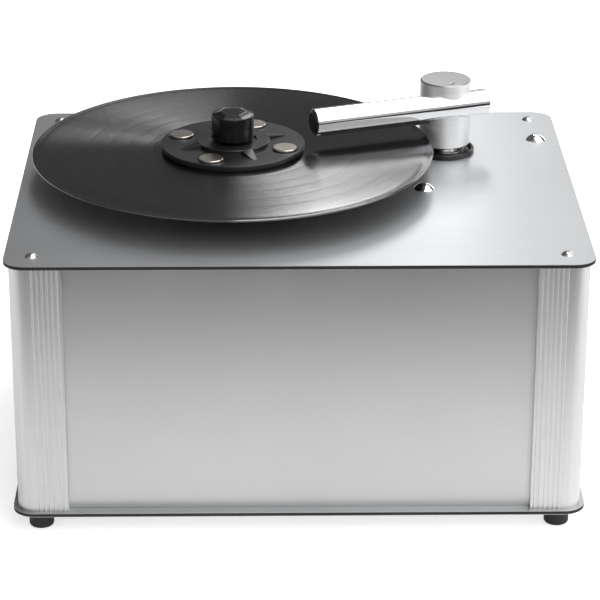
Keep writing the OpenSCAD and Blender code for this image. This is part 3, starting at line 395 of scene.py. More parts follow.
class PostSettings(PropertyGroup):
    colour: FloatVectorProperty(
        name="Colour", description="Anodised colour of the corner posts", subtype="COLOR",
        default=(0.68, 0.68, 0.68), min=0, max=1
    )
    roughness: FloatProperty(
        name="Roughness", description="Softness of the posts' reflections", subtype="FACTOR", default=0.40,
        min=0.1, max=0.7
    )


class PanelSettings(PropertyGroup):
    colour: FloatVectorProperty(
        name="Colour", description="Colour of the four side panels", subtype="COLOR",
        default=(0.62, 0.62, 0.618), min=0, max=1
    )
    roughness: FloatProperty(
        name="Roughness", description="Softness of the panels' reflections", subtype="FACTOR", default=0.38,
        min=0.1, max=0.7
    )


class FastenerSettings(PropertyGroup):
    steel: FloatVectorProperty(
        name="Steel", description="Colour of the screws and nuts", subtype="COLOR",
        default=(0.66, 0.66, 0.66), min=0, max=1
    )
    chrome: FloatVectorProperty(
        name="Chrome", description="Colour of the polished pieces", subtype="COLOR",
        default=(0.86, 0.86, 0.87), min=0, max=1
    )
    rubber: FloatVectorProperty(
        name="Rubber", description="Colour of the rubber pieces", subtype="COLOR",
        default=(0.018, 0.018, 0.018), min=0, max=1
    )


class RecordSettings(PropertyGroup):
    vinyl: FloatVectorProperty(
        name="Vinyl", description="Colour of the record", subtype="COLOR", default=(0.004, 0.004, 0.0042),
        min=0, max=1
    )
    groove_roughness: FloatProperty(
        name="Groove roughness", description="Softness of the light in the grooves", subtype="FACTOR",
        default=0.2, min=0.05, max=0.6
    )
    groove_stretch: FloatProperty(
        name="Groove stretch", description="How far the grooves draw the light out along the radius",
        subtype="FACTOR", default=1.0, min=0, max=1
    )
    sides: IntProperty(name="Sides", description="Steps round the record", default=360, min=96, max=720)


class ClampSettings(PropertyGroup):
    plastic: FloatVectorProperty(
        name="Plastic", description="Colour of the clamp disc and knob", subtype="COLOR",
        default=(0.008, 0.008, 0.0085), min=0, max=1
    )
    nickel: FloatVectorProperty(
        name="Nickel", description="Colour of the four weights", subtype="COLOR",
        default=(0.60, 0.56, 0.50), min=0, max=1
    )
    facets: IntProperty(
        name="Facets", description="Hollow facets round the knob's shoulder", default=6, min=4, max=10
    )
    facet_turn: FloatProperty(
        name="Facet turn", description="Turn of the facets seen from above", subtype="ANGLE",
        default=math.radians(-90), min=-math.pi, max=math.pi
    )


class ArmSettings(PropertyGroup):
    aluminium: FloatVectorProperty(
        name="Aluminium", description="Colour of the turned tower", subtype="COLOR",
        default=(0.93, 0.93, 0.935), min=0, max=1
    )
    black: FloatVectorProperty(
        name="Black", description="Colour of the collar and end plugs", subtype="COLOR",
        default=(0.013, 0.013, 0.014), min=0, max=1
    )
    velvet: FloatVectorProperty(
        name="Velvet", description="Colour of the velvet strips", subtype="COLOR",
        default=(0.012, 0.012, 0.014), min=0, max=1
    )


class InsideSettings(PropertyGroup):
    tank: FloatVectorProperty(
        name="Tank", description="Colour of the milky waste tank", subtype="COLOR",
        default=(0.72, 0.74, 0.72), min=0, max=1
    )
    casing: FloatVectorProperty(
        name="Casing", description="Colour of the motor casings", subtype="COLOR",
        default=(0.34, 0.35, 0.36), min=0, max=1
    )
    moulding: FloatVectorProperty(
        name="Moulding", description="Colour of the pale gear and bushing", subtype="COLOR",
        default=(0.74, 0.73, 0.68), min=0, max=1
    )
    board: FloatVectorProperty(
        name="Board", description="Colour of the power board", subtype="COLOR", default=(0.02, 0.14, 0.06),
        min=0, max=1
    )


class StudioSettings(PropertyGroup):
    camera_place: FloatVectorProperty(
        name="Camera", description="Place of the camera", subtype="TRANSLATION", unit="LENGTH",
        default=(-0.02692, -1.83644, 0.88509)
    )
    pitch: FloatProperty(
        name="Pitch", description="How far the camera looks down", subtype="ANGLE",
        default=math.radians(22.756)
    )
    yaw: FloatProperty(
        name="Yaw", description="How far the camera turns to the right", subtype="ANGLE",
        default=math.radians(0.919)
    )
    roll: FloatProperty(
        name="Roll", description="Tilt of the camera about its own axis", subtype="ANGLE",
        default=math.radians(0.118)
    )
    lens: FloatProperty(
        name="Lens", description="Focal length in millimetres on a 36 mm sensor", default=155.82, min=20,
        max=300
    )
    floor: FloatVectorProperty(
        name="Floor", description="Colour of the floor and backdrop", subtype="COLOR",
        default=(0.86, 0.86, 0.86), min=0, max=1
    )
    over: FloatProperty(
        name="Overhead light", description="Power of the large soft light over the right side", default=2.2,
        min=0, max=200
    )
    back: FloatProperty(
        name="Rear light", description="Power of the soft light high behind the middle", default=1.7, min=0,
        max=200
    )
    side: FloatProperty(
        name="Side light", description="Power of the soft light on the right", default=3.6, min=0, max=200
    )
    fill: FloatProperty(
        name="Fill light", description="Power of the soft light from the front", default=1.6, min=0, max=200
    )
    panel_over: FloatProperty(
        name="Ceiling panel", description="Level of the ceiling panel over the right half", default=1.7,
        min=0, max=20
    )
    panel_side: FloatProperty(
        name="Window panel", description="Level of the low panel behind on the right", default=2.0, min=0,
        max=20
    )
    room_front: FloatProperty(
        name="Front room", description="Level of the room in front", default=0.38, min=0, max=4
    )
    world: FloatProperty(
        name="Room", description="Level of the light from all round", default=0.11, min=0, max=2
    )
    table_edge: FloatProperty(
        name="Table edge", description="Distance of the table's front edge from the middle", unit="LENGTH",
        default=0.50, min=0.3, max=6
    )



SETTINGS = {
    "cleaner_plates": PlateSettings,
    "cleaner_posts": PostSettings,
    "cleaner_panels": PanelSettings,
    "cleaner_fasteners": FastenerSettings,
    "cleaner_record": RecordSettings,
    "cleaner_clamp": ClampSettings,
    "cleaner_arm": ArmSettings,
    "cleaner_inside": InsideSettings,
    "cleaner_studio": StudioSettings,
}


# Materials with a form of their own


def plate_material(settings):
    """Bright skins over a black core, told apart by height within each plate."""
    made, g, shader = start_material("plate_composite")
    place = g.object_place()
    height = g.node("ShaderNodeSeparateXYZ")
    g.link(place, height.inputs[0])
    z = height.outputs[2]
    low_top, high_top = (corner.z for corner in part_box("top_plate"))
    low_bottom, high_bottom = (corner.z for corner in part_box("bottom_plate"))
    skin = settings.skin_depth
    in_top = g.math(
        "LESS_THAN", g.math("ABSOLUTE", g.math("SUBTRACT", z, (low_top + high_top) / 2)),
        (high_top - low_top) / 2 - skin
    )
    in_bottom = g.math(
        "LESS_THAN", g.math("ABSOLUTE", g.math("SUBTRACT", z, (low_bottom + high_bottom) / 2)),
        (high_bottom - low_bottom) / 2 - skin
    )
    core = g.math("ADD", in_top, in_bottom, clamp=True)
    marks = g.use(group("grain"), Place=place, Size=1500.0, Cloud_Size=9.0)
    lines = g.use(group("lines"), Place=place, Across=(25.0, 2600.0, 2600.0))
    satin = g.math(
        "ADD", g.math("MULTIPLY", marks.outputs["Grain"], 0.6),
        g.math("MULTIPLY", lines.outputs["Line"], 0.4)
    )
    tone = g.blend(g.spread(satin, 0.35, 0.65), scaled(settings.skin, 0.95), scaled(settings.skin, 1.05))
    dark = g.blend(g.spread(marks.outputs["Grain"], 0.3, 0.7), settings.core, scaled(settings.core, 1.8))
    g.link(g.blend(core, tone, dark), shader.inputs["Base Color"])
    g.link(g.math("SUBTRACT", 1.0, core), shader.inputs["Metallic"])
    base = settings.roughness
    rough = g.spread(marks.outputs["Cloud"], 0.0, 1.0, base - 0.015, base + 0.02)
    rough = g.math("ADD", rough, g.math("MULTIPLY", core, 0.25))
    g.link(rough, shader.inputs["Roughness"])
    edge = g.use(group("edge"), Place=place)
    g.link(g.bump(satin, 0.10, 0.00002, edge.outputs["Normal"]), shader.inputs["Normal"])
    shader.inputs["Anisotropic"].default_value = 0.7
    brushed = g.node("ShaderNodeCombineXYZ")
    brushed.inputs[1].default_value = 1.0
    g.link(brushed.outputs[0], shader.inputs["Tangent"])
    return made


def record_material(settings):
    """Pressed vinyl: fine grooves in bands of music, smooth gaps between tracks, a plain rim."""
    made, g, shader = start_material("record_vinyl")
    place = g.object_place()
    rings = g.use(group("rings"), Place=place, Centre=(0.0, 0.0, 0.0), Fineness=1500.0)
    coarse = g.use(group("rings"), Place=place, Centre=(0.0, 0.0, 0.0), Fineness=620.0)
    radius = rings.outputs["Radius"]
    gaps = None
    track_gaps, gap_half = (0.0645, 0.0790, 0.0935, 0.1090, 0.1245), 0.0004
    lead_in, lead_in_half = 0.1462, 0.0022
    label_edge, rim_width = 0.0605, 0.0024
    for centre, half in [(r, gap_half) for r in track_gaps] + [(lead_in, lead_in_half)]:
        near = g.math("LESS_THAN", g.math("ABSOLUTE", g.math("SUBTRACT", radius, centre)), half)
        gaps = near if gaps is None else g.math("MAXIMUM", gaps, near)
    inner = g.math("LESS_THAN", radius, label_edge)
    rim = g.math("GREATER_THAN", radius, RECORD_R - rim_width)
    plain = g.math("MAXIMUM", g.math("MAXIMUM", gaps, inner), rim)
    band = g.spread(coarse.outputs["Ring"], 0.35, 0.65)
    tone = g.blend(band, scaled(settings.vinyl, 0.5), scaled(settings.vinyl, 2.4))
    g.link(tone, shader.inputs["Base Color"])
    fine = g.spread(rings.outputs["Ring"], 0.3, 0.7)
    mixed = g.math("ADD", g.math("MULTIPLY", fine, 0.55), g.math("MULTIPLY", band, 0.45))
    groove = g.spread(mixed, 0.0, 1.0, settings.groove_roughness - 0.06, settings.groove_roughness + 0.08)
    smooth = g.math("MULTIPLY", g.math("SUBTRACT", groove, 0.16), plain)
    g.link(g.math("SUBTRACT", groove, smooth), shader.inputs["Roughness"])
    shader.inputs["Anisotropic"].default_value = settings.groove_stretch
    tangent = g.node("ShaderNodeTangent", direction_type="RADIAL", axis="Z")
    g.link(tangent.outputs[0], shader.inputs["Tangent"])
    wide = g.use(group("rings"), Place=place, Centre=(0.0, 0.0, 0.0), Fineness=300.0)
    cut = g.math("SUBTRACT", 1.0, g.math("MULTIPLY", plain, 0.8))
    height = g.math("MULTIPLY", g.math("ADD", coarse.outputs["Ring"], wide.outputs["Ring"]), cut)
    g.link(g.bump(height, 0.5, 0.00014), shader.inputs["Normal"])
    shader.inputs["Anisotropic Rotation"].default_value = 0.25
    shader.inputs["IOR"].default_value = 2.6
    return made


def turned_material(name, colour, centre, roughness):
    """Aluminium turned on a lathe, with rings on the end face and round the wall; the end faces carry painted
    shade.
    """
    made, g, shader = start_material(name)
    place = g.object_place()
    rings = g.use(group("rings"), Place=place, Centre=tuple(centre), Fineness=2400.0)
    wall = g.use(group("lines"), Place=place, Across=(30.0, 30.0, 4200.0))
    facing = g.node("ShaderNodeSeparateXYZ")
    g.link(g.node("ShaderNodeNewGeometry").outputs["True Normal"], facing.inputs[0])
    top = g.math("GREATER_THAN", g.math("ABSOLUTE", facing.outputs[2]), 0.7)
    height = g.math(
        "ADD", g.math("MULTIPLY", rings.outputs["Ring"], top),
        g.math("MULTIPLY", wall.outputs["Line"], g.math("SUBTRACT", 1.0, top))
    )
    tone = g.blend(g.spread(height, 0.35, 0.65), scaled(colour, 0.94), scaled(colour, 1.04))
    # painted shade: faces pointing up or down are darkened by 62 % towards black, standing in for the dimmer
    # light the end face catches
    g.link(g.blend(g.math("MULTIPLY", top, 0.62), tone, (0.0, 0.0, 0.0)), shader.inputs["Base Color"])
    rough = g.spread(height, 0.3, 0.7, roughness - 0.04, roughness + 0.06)
    g.link(g.math("SUBTRACT", rough, g.math("MULTIPLY", top, 0.16)), shader.inputs["Roughness"])
    edge = g.use(group("edge"), Place=place)
    g.link(g.bump(height, 0.25, 0.00003, edge.outputs["Normal"]), shader.inputs["Normal"])
    shader.inputs["Metallic"].default_value = 1.0
    return made


def velvet_material(colour):
    made, g, shader = start_material("velvet_pile")
    place = g.object_place()
    pile = g.noise(place, 6000.0, 3.0, 0.7)
    nap = g.noise(place, 260.0, 2.0, 0.5)
    tone = g.blend(g.spread(pile, 0.3, 0.7), scaled(colour, 0.5), scaled(colour, 2.2))
    g.link(
        g.blend(g.spread(nap, 0.4, 0.7, 0.0, 0.5), tone, scaled(colour, 1.5)), shader.inputs["Base Color"]
    )
    g.link(g.spread(pile, 0.3, 0.7, 0.85, 1.0), shader.inputs["Roughness"])
    g.link(g.bump(pile, 0.8, 0.0002), shader.inputs["Normal"])
    shader.inputs["Sheen Weight"].default_value = 0.4
    return made


def clear_material(name, colour):
    """Clear soft tube, slightly clouded."""
    made, g, shader = start_material(name)
    marks = g.use(group("grain"), Place=g.object_place(), Size=700.0)
    tone = g.blend(marks.outputs["Cloud"], colour, scaled(colour, 0.9))
    g.link(tone, shader.inputs["Base Color"])
    g.link(g.spread(marks.outputs["Grain"], 0.3, 0.7, 0.04, 0.14), shader.inputs["Roughness"])
    g.link(g.bump(marks.outputs["Grain"], 0.1, 0.00003), shader.inputs["Normal"])
    shader.inputs["Transmission Weight"].default_value = 0.9
    shader.inputs["IOR"].default_value = 1.42
    return made


def board_material(colour):
    """Green solder mask with faint tracks and pale pads."""
    made, g, shader = start_material("power_board")
    place = g.object_place()
    tracks = g.node("ShaderNodeTexBrick")
    g.link(g.vector("SCALE", place, scale=1.0), tracks.inputs["Vector"])
    tracks.inputs["Scale"].default_value = 70.0
    tracks.inputs["Mortar Size"].default_value = 0.03
    tracks.inputs["Color1"].default_value = (*scaled(colour, 1.0), 1)
    tracks.inputs["Color2"].default_value = (*scaled(colour, 0.8), 1)
    tracks.inputs["Mortar"].default_value = (*scaled(colour, 1.9), 1)
    marks = g.use(group("grain"), Place=place, Size=900.0)
    g.link(
        g.blend(
            g.spread(marks.outputs["Grain"], 0.35, 0.65, 0.0, 0.3), tracks.outputs["Color"],
            scaled(colour, 0.5)
        ),
        shader.inputs["Base Color"]
    )
    g.link(g.spread(marks.outputs["Grain"], 0.3, 0.7, 0.28, 0.42), shader.inputs["Roughness"])
    g.link(g.bump(tracks.outputs["Fac"], 0.3, 0.00005), shader.inputs["Normal"])
    return made


# One operator for each piece or group of like pieces


class CLEANER_OT_plates(Operator):
    """Give the top and bottom plates their skins and core"""

    bl_idname = "cleaner.plates"
    bl_label = "Plates"

    def execute(self, context):
        material = plate_material(context.scene.cleaner_plates)
        for name in ("top_plate", "bottom_plate"):
            dress(name, material)
        return {"FINISHED"}


class CLEANER_OT_posts(Operator):
    """Finish the four ribbed corner posts"""

    bl_idname = "cleaner.posts"
    bl_label = "Corner posts"

    def execute(self, context):
        look = context.scene.cleaner_posts
        material = finish_material(
            "post_anodised", look.colour, 1.0, look.roughness, 0.05, 0.05,
            lines=(2200.0, 2200.0, 12.0), strength=0.15, wear=scaled(look.colour, 1.2),
        )
        for name in ("corner_front_left", "corner_front_right", "corner_rear_left", "corner_rear_right"):
            dress(name, material)
        return {"FINISHED"}


class CLEANER_OT_panels(Operator):
    """Finish the four brushed side panels"""

    bl_idname = "cleaner.panels"
    bl_label = "Side panels"

    def execute(self, context):
        look = context.scene.cleaner_panels
        material = finish_material(
            "panel_satin", look.colour, 1.0, look.roughness, 0.035, 0.03, grain=2400.0, strength=0.12,
        )
        for name in ("front_panel", "rear_panel", "left_panel", "right_panel"):
            dress(name, material)
        return {"FINISHED"}


class CLEANER_OT_fasteners(Operator):
    """Finish the screws, domed bolts, nuts and rubber feet"""

    bl_idname = "cleaner.fasteners"
    bl_label = "Fasteners and feet"

    def execute(self, context):
        look = context.scene.cleaner_fasteners
        steel = finish_material("screw_plated", look.steel, 1.0, 0.22, 0.06, 0.08, strength=0.15)
        chrome = finish_material("dome_chrome", look.chrome, 1.0, 0.07, 0.03, 0.03, strength=0.05)
        rubber = finish_material(
            "foot_rubber", look.rubber, 0.0, 0.62, 0.25, 0.15, grain=2600.0, strength=0.5
        )
        for name in ("foot_screws", "top_screws", "bolt_nuts"):
            dress(name, steel)
        dress("domed_bolts", chrome)
        dress("rubber_feet", rubber)
        return {"FINISHED"}


class CLEANER_OT_record(Operator):
    """Build the pressed record with its rim, grooves and track gaps"""

    bl_idname = "cleaner.record"
    bl_label = "Record"

    def execute(self, context):
        look = context.scene.cleaner_record
        top = record_high.z - record_low.z
        mid = top / 2
        half = 0.00065
        outer = RECORD_R
        upper = [(0.00365, mid + mid), (0.0495, top), (0.0500, top - 0.0001), (0.0515, mid + half)]
        for gap in (0.0645, 0.0790, 0.0935, 0.1090, 0.1245):
            upper += [(gap - 0.0008, mid + half), (gap - 0.0004, mid + half - 0.00001)]
            upper += [(gap + 0.0004, mid + half - 0.00001), (gap + 0.0008, mid + half)]
        upper += [
            (outer - 0.0068, mid + half), (outer - 0.0064, mid + half - 0.00006),
            (outer - 0.0030, mid + half - 0.00004)
        ]
        bead = [
            (outer - mid + mid * 0.98 * math.sin(a), mid + mid * 0.98 * math.cos(a))
            for a in (math.pi * k / 12 for k in range(13))
        ]
        lower = [(radius, top - height) for radius, height in reversed(upper)]
        mesh = turned_mesh("record_pressed", upper + bead + lower, look.sides, closed=True)
        centre = (PLATTER_AXIS.x, PLATTER_AXIS.y, record_low.z)
        new_piece(
            "record_pressed", mesh, record_material(look), "platter", ("record",), centre,
            sharp=40
        )
        return {"FINISHED"}


class CLEANER_OT_clamp(Operator):
    """Finish the clamp disc, its seal and nickel weights, and build the knob"""

    bl_idname = "cleaner.clamp"
    bl_label = "Clamp"

    def execute(self, context):
        look = context.scene.cleaner_clamp
        satin = finish_material(
            "clamp_satin", look.plastic, 0.0, 0.33, 0.2, 0.1, grain=2200.0, strength=0.2,
            wear=scaled(look.plastic, 3.0)
        )
        nickel = finish_material(
            "weight_nickel", look.nickel, 1.0, 0.26, 0.03, 0.04, grain=2600.0, strength=0.05
        )
        knob = finish_material(
            "knob_moulded", scaled(look.plastic, 0.5), 0.0, 0.26, 0.2, 0.06, grain=2600.0, strength=0.1,
            specular=0.35
        )
        brass = finish_material("insert_brass", (0.72, 0.52, 0.22), 1.0, 0.25, 0.08, 0.08, strength=0.2)
        rubber = finish_material(
            "seal_rubber", context.scene.cleaner_fasteners.rubber, 0.0, 0.6, 0.25, 0.15, strength=0.4
        )
        dress("clamp_disc", satin)
        dress("clamp_weights", nickel)
        dress("clamp_seal", rubber)
        dress("knob_insert", brass)
        self.knob(look, knob)
        return {"FINISHED"}

    def knob(self, look, material):
        """A round knob whose shoulder is cut by slightly hollow facets."""
        low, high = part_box("clamp_knob")
        radius = (high.x - low.x) / 2
        height = high.z - low.z
        neck_r, neck_top = 0.009, 0.0022
        flat = radius * 0.60
        fall = 0.0018
        turns, steps = look.facets * 24, 26

        def top_at(r, a):
            step = 2 * math.pi / look.facets
            off = (a - look.facet_turn + step / 2) % step - step / 2
            along = r * math.cos(off)
            drop = max(0.0, along - flat * math.cos(step / 2) * 1.06) / (radius - flat)
            hollow = 0.0003 * math.sin(math.pi * min(1.0, drop)) if drop > 0 else 0.0
            return height - fall * drop - hollow

        work = bmesh.new()
        rings = []
        for k in range(1, steps + 1):
            r = (radius - 0.0006) * (k / steps) ** 0.9
            rings.append([(r, a, top_at(r, a)) for a in (2 * math.pi * j / turns for j in range(turns))])
        edge = [(
            radius - 0.0006 + 0.0006 * math.sin(b), 0.0006 - 0.0006 * math.cos(b)
        ) for b in (0.4, 0.9, math.pi / 2)]
        for r, down in edge:
            rings.append([(
                r, a, top_at(radius - 0.0006, a) - down
            ) for a in (2 * math.pi * j / turns for j in range(turns))])
        for r, z in (
            (radius, 0.006), (radius, neck_top + 0.0006), (radius - 0.0006, neck_top), (neck_r, neck_top),
            (neck_r, 0.0), (0.0072, 0.0)
        ):
            rings.append([(r, 2 * math.pi * j / turns, z) for j in range(turns)])
        made = [[
            work.verts.new((r * math.cos(a), r * math.sin(a), z)) for r, a, z in ring
        ] for ring in rings]
        cap = work.verts.new((0, 0, height))
        for j in range(turns):
            n = (j + 1) % turns
            work.faces.new((cap, made[0][j], made[0][n]))
            for first, second in zip(made, made[1:]):
                work.faces.new((first[j], second[j], second[n], first[n]))
        bmesh.ops.recalc_face_normals(work, faces=work.faces)
        mesh = bpy.data.meshes.new("knob_faceted")
        work.to_mesh(mesh)
        work.free()
        new_piece(
            "knob_faceted", mesh, material, "knob", ("clamp_knob",),
            (PLATTER_AXIS.x, PLATTER_AXIS.y, low.z), sharp=24
        )


class CLEANER_OT_arm(Operator):
    """Finish the tower, chrome tube, plugs and collar, and lay the velvet"""

    bl_idname = "cleaner.arm"
    bl_label = "Suction arm"

    def execute(self, context):
        look = context.scene.cleaner_arm
        chrome = finish_material(
            "tube_chrome", context.scene.cleaner_fasteners.chrome, 1.0, 0.06, 0.03, 0.03, grain=500.0,
            strength=0.04
        )
        black = finish_material("collar_black", look.black, 0.0, 0.3, 0.2, 0.1, strength=0.2)
        steel = finish_material(
            "pipe_steel", context.scene.cleaner_fasteners.steel, 1.0, 0.25, 0.06, 0.08,
            lines=(2400.0, 2400.0, 30.0), strength=0.15
        )
        plug = finish_material("plug_gloss", look.black, 0.0, 0.22, 0.2, 0.08, strength=0.1)
        dress("arm_tower", turned_material("tower_turned", look.aluminium, ARM_AXIS, 0.5))
        dress("arm_tube", chrome)
        for name in ("tip_plug", "tail_plug"):
            dress(name, plug)
        dress("arm_collar", black)
        for name in ("down_pipe", "grub_screw", "swivel_washer", "return_spring"):
            dress(name, steel)
        self.velvet(look)
        return {"FINISHED"}

    def velvet(self, look):
        """Two rows of short pile that follow the underside of the tube."""
        work = bmesh.new()
        strip_start, glue_gap = 0.0035, 0.00006
        front = TUBE_MIDDLE.dot(ARM_ALONG) - TUBE_LENGTH / 2 + strip_start
        length, inner = 0.090, TUBE_R + glue_gap
        outer = TUBE_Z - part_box("velvet_strips")[0].z - glue_gap
        first, last = 7.2, 27.5
        rows, cols = 220, 10
        for side in (-1, 1):
            grid = []
            for i in range(rows + 1):
                x = front + length * i / rows
                line = []
                for j in range(cols + 1):
                    t = j / cols
                    angle = side * math.radians(first + (last - first) * t)
                    ends = min(1.0, 12 * t, 12 * (1 - t), i / 3, (rows - i) / 3)
                    pile = 0.00010 * noise.noise(Vector((x * 2600, angle * 40, side)))
                    r = inner + (outer - inner) * math.sqrt(max(0.0, ends)) + pile * ends - 0.00008
                    line.append(work.verts.new((x, r * math.sin(angle), -r * math.cos(angle))))
                grid.append(line)
            back = []
            for i in range(rows + 1):
                x = front + length * i / rows
                back.append([work.verts.new((
                    x, inner * math.sin(side * math.radians(a)), -inner * math.cos(math.radians(a))
                )) for a in (first, last)])
            for i in range(rows):
                for j in range(cols):
                    work.faces.new((grid[i][j], grid[i + 1][j], grid[i + 1][j + 1], grid[i][j + 1]))
                work.faces.new((back[i][0], back[i + 1][0], grid[i + 1][0], grid[i][0]))
                work.faces.new((back[i][1], back[i + 1][1], grid[i + 1][cols], grid[i][cols]))
                work.faces.new((back[i][0], back[i + 1][0], back[i + 1][1], back[i][1]))
        bmesh.ops.recalc_face_normals(work, faces=work.faces)
        mesh = bpy.data.meshes.new("velvet_pile")
        work.to_mesh(mesh)
        work.free()
        across = Vector((-ARM_ALONG.y, ARM_ALONG.x)) * TUBE_SIDE
        place = (ARM_AXIS.x + across.x, ARM_AXIS.y + across.y, TUBE_Z)
        new_piece(
            "velvet_pile", mesh, velvet_material(look.velvet), "arm", ("velvet_strips",),
            place, ARM_ANGLE
        )


class CLEANER_OT_drive(Operator):
    """Finish the platter, shaft, bearings, gears and gear motor"""

    bl_idname = "cleaner.drive"
    bl_label = "Platter drive"

    def execute(self, context):
        arm = context.scene.cleaner_arm
        inside = context.scene.cleaner_inside
        steel = finish_material(
            "shaft_ground", context.scene.cleaner_fasteners.steel, 1.0, 0.18, 0.05, 0.06,
            lines=(40.0, 40.0, 4200.0), strength=0.15
        )
        coated = finish_material(
            "bracket_coated", scaled(inside.casing, 0.7), 0.0, 0.45, 0.15, 0.1, grain=1500.0, strength=0.4
        )
        zinc = finish_material("motor_zinc", inside.casing, 1.0, 0.35, 0.1, 0.12, strength=0.25)
        brass = finish_material("pinion_brass", (0.72, 0.54, 0.24), 1.0, 0.28, 0.08, 0.1, strength=0.25)
        acetal = finish_material("gear_acetal", inside.moulding, 0.0, 0.42, 0.05, 0.08, strength=0.2)
        black = finish_material(
            "platter_black", arm.black, 0.3, 0.38, 0.2, 0.1, strength=0.25, wear=scaled(arm.black, 5.0)
        )
        mat = finish_material(
            "mat_rubber", context.scene.cleaner_fasteners.rubber, 0.0, 0.7, 0.25, 0.15, strength=0.5
        )
        looks = {
            steel: ("drive_shaft", "shaft_bearings", "housing_nut", "motor_posts"),
            coated: ("motor_bracket", "motor_plate"),
            zinc: ("gear_motor",),
            brass: ("motor_pinion",),
            acetal: ("drive_gear",),
            black: ("platter", "bearing_housing", "arm_bushing"),
            mat: ("platter_mat",),
        }
        for material, names in looks.items():
            for name in names:
                dress(name, material)
        return {"FINISHED"}


class CLEANER_OT_waste(Operator):
    """Finish the waste tank, its gasket and lid, the hose and the level tube"""

    bl_idname = "cleaner.waste"
    bl_label = "Waste tank"

    def execute(self, context):
        inside = context.scene.cleaner_inside
        milky = finish_material("tank_milky", inside.tank, 0.0, 0.4, 0.05, 0.12, grain=600.0, strength=0.3)
        hose = finish_material(
            "hose_black", (0.03, 0.03, 0.033), 0.0, 0.4, 0.2, 0.1, lines=(60.0, 1200.0, 60.0), strength=0.4
        )
        rubber = finish_material(
            "gasket_rubber", context.scene.cleaner_fasteners.rubber, 0.0, 0.65, 0.25, 0.15, strength=0.4
        )
        fitting = finish_material(
            "fitting_black", context.scene.cleaner_arm.black, 0.0, 0.4, 0.2, 0.1, strength=0.3
        )
        for name in ("waste_tank", "tank_lid"):
            dress(name, milky)
        dress("suction_hose", hose)
        dress("tank_gasket", rubber)
        dress("level_fittings", fitting)
        dress("level_tube", clear_material("tube_clear", (0.86, 0.92, 0.93)))
        return {"FINISHED"}


class CLEANER_OT_vacuum(Operator):
    """Finish the vacuum motor, its mount, the fan and its housing"""

    bl_idname = "cleaner.vacuum"
    bl_label = "Vacuum unit"

    def execute(self, context):
        inside = context.scene.cleaner_inside
        casing = finish_material("vacuum_casing", inside.casing, 1.0, 0.38, 0.1, 0.12, strength=0.25)
        sheet = finish_material(
            "fan_sheet", (0.62, 0.63, 0.64), 1.0, 0.3, 0.07, 0.1, strength=0.2, wear=(0.75, 0.75, 0.76)
        )
        rubber = finish_material(
            "mount_rubber", context.scene.cleaner_fasteners.rubber, 0.0, 0.65, 0.25, 0.15, strength=0.4
        )
        dress("vacuum_motor", casing)
        dress("motor_mount", rubber)
        for name in ("fan_housing", "fan_cover", "fan_wheel"):
            dress(name, sheet)
        return {"FINISHED"}


class CLEANER_OT_controls(Operator):
    """Finish the power board, mains inlet and rocker switches"""

    bl_idname = "cleaner.controls"
    bl_label = "Controls and mains"

    def execute(self, context):
        black = context.scene.cleaner_arm.black
        texture = finish_material(
            "switch_texture", scaled(black, 1.3), 0.0, 0.5, 0.2, 0.1, grain=2200.0, strength=0.4
        )
        gloss = finish_material("rocker_gloss", black, 0.0, 0.25, 0.2, 0.08, strength=0.1)
        dress("power_board", board_material(context.scene.cleaner_inside.board))
        for name in ("mains_inlet", "switch_bodies"):
            dress(name, texture)
        for name in ("platter_rocker", "vacuum_rocker"):
            dress(name, gloss)
        return {"FINISHED"}


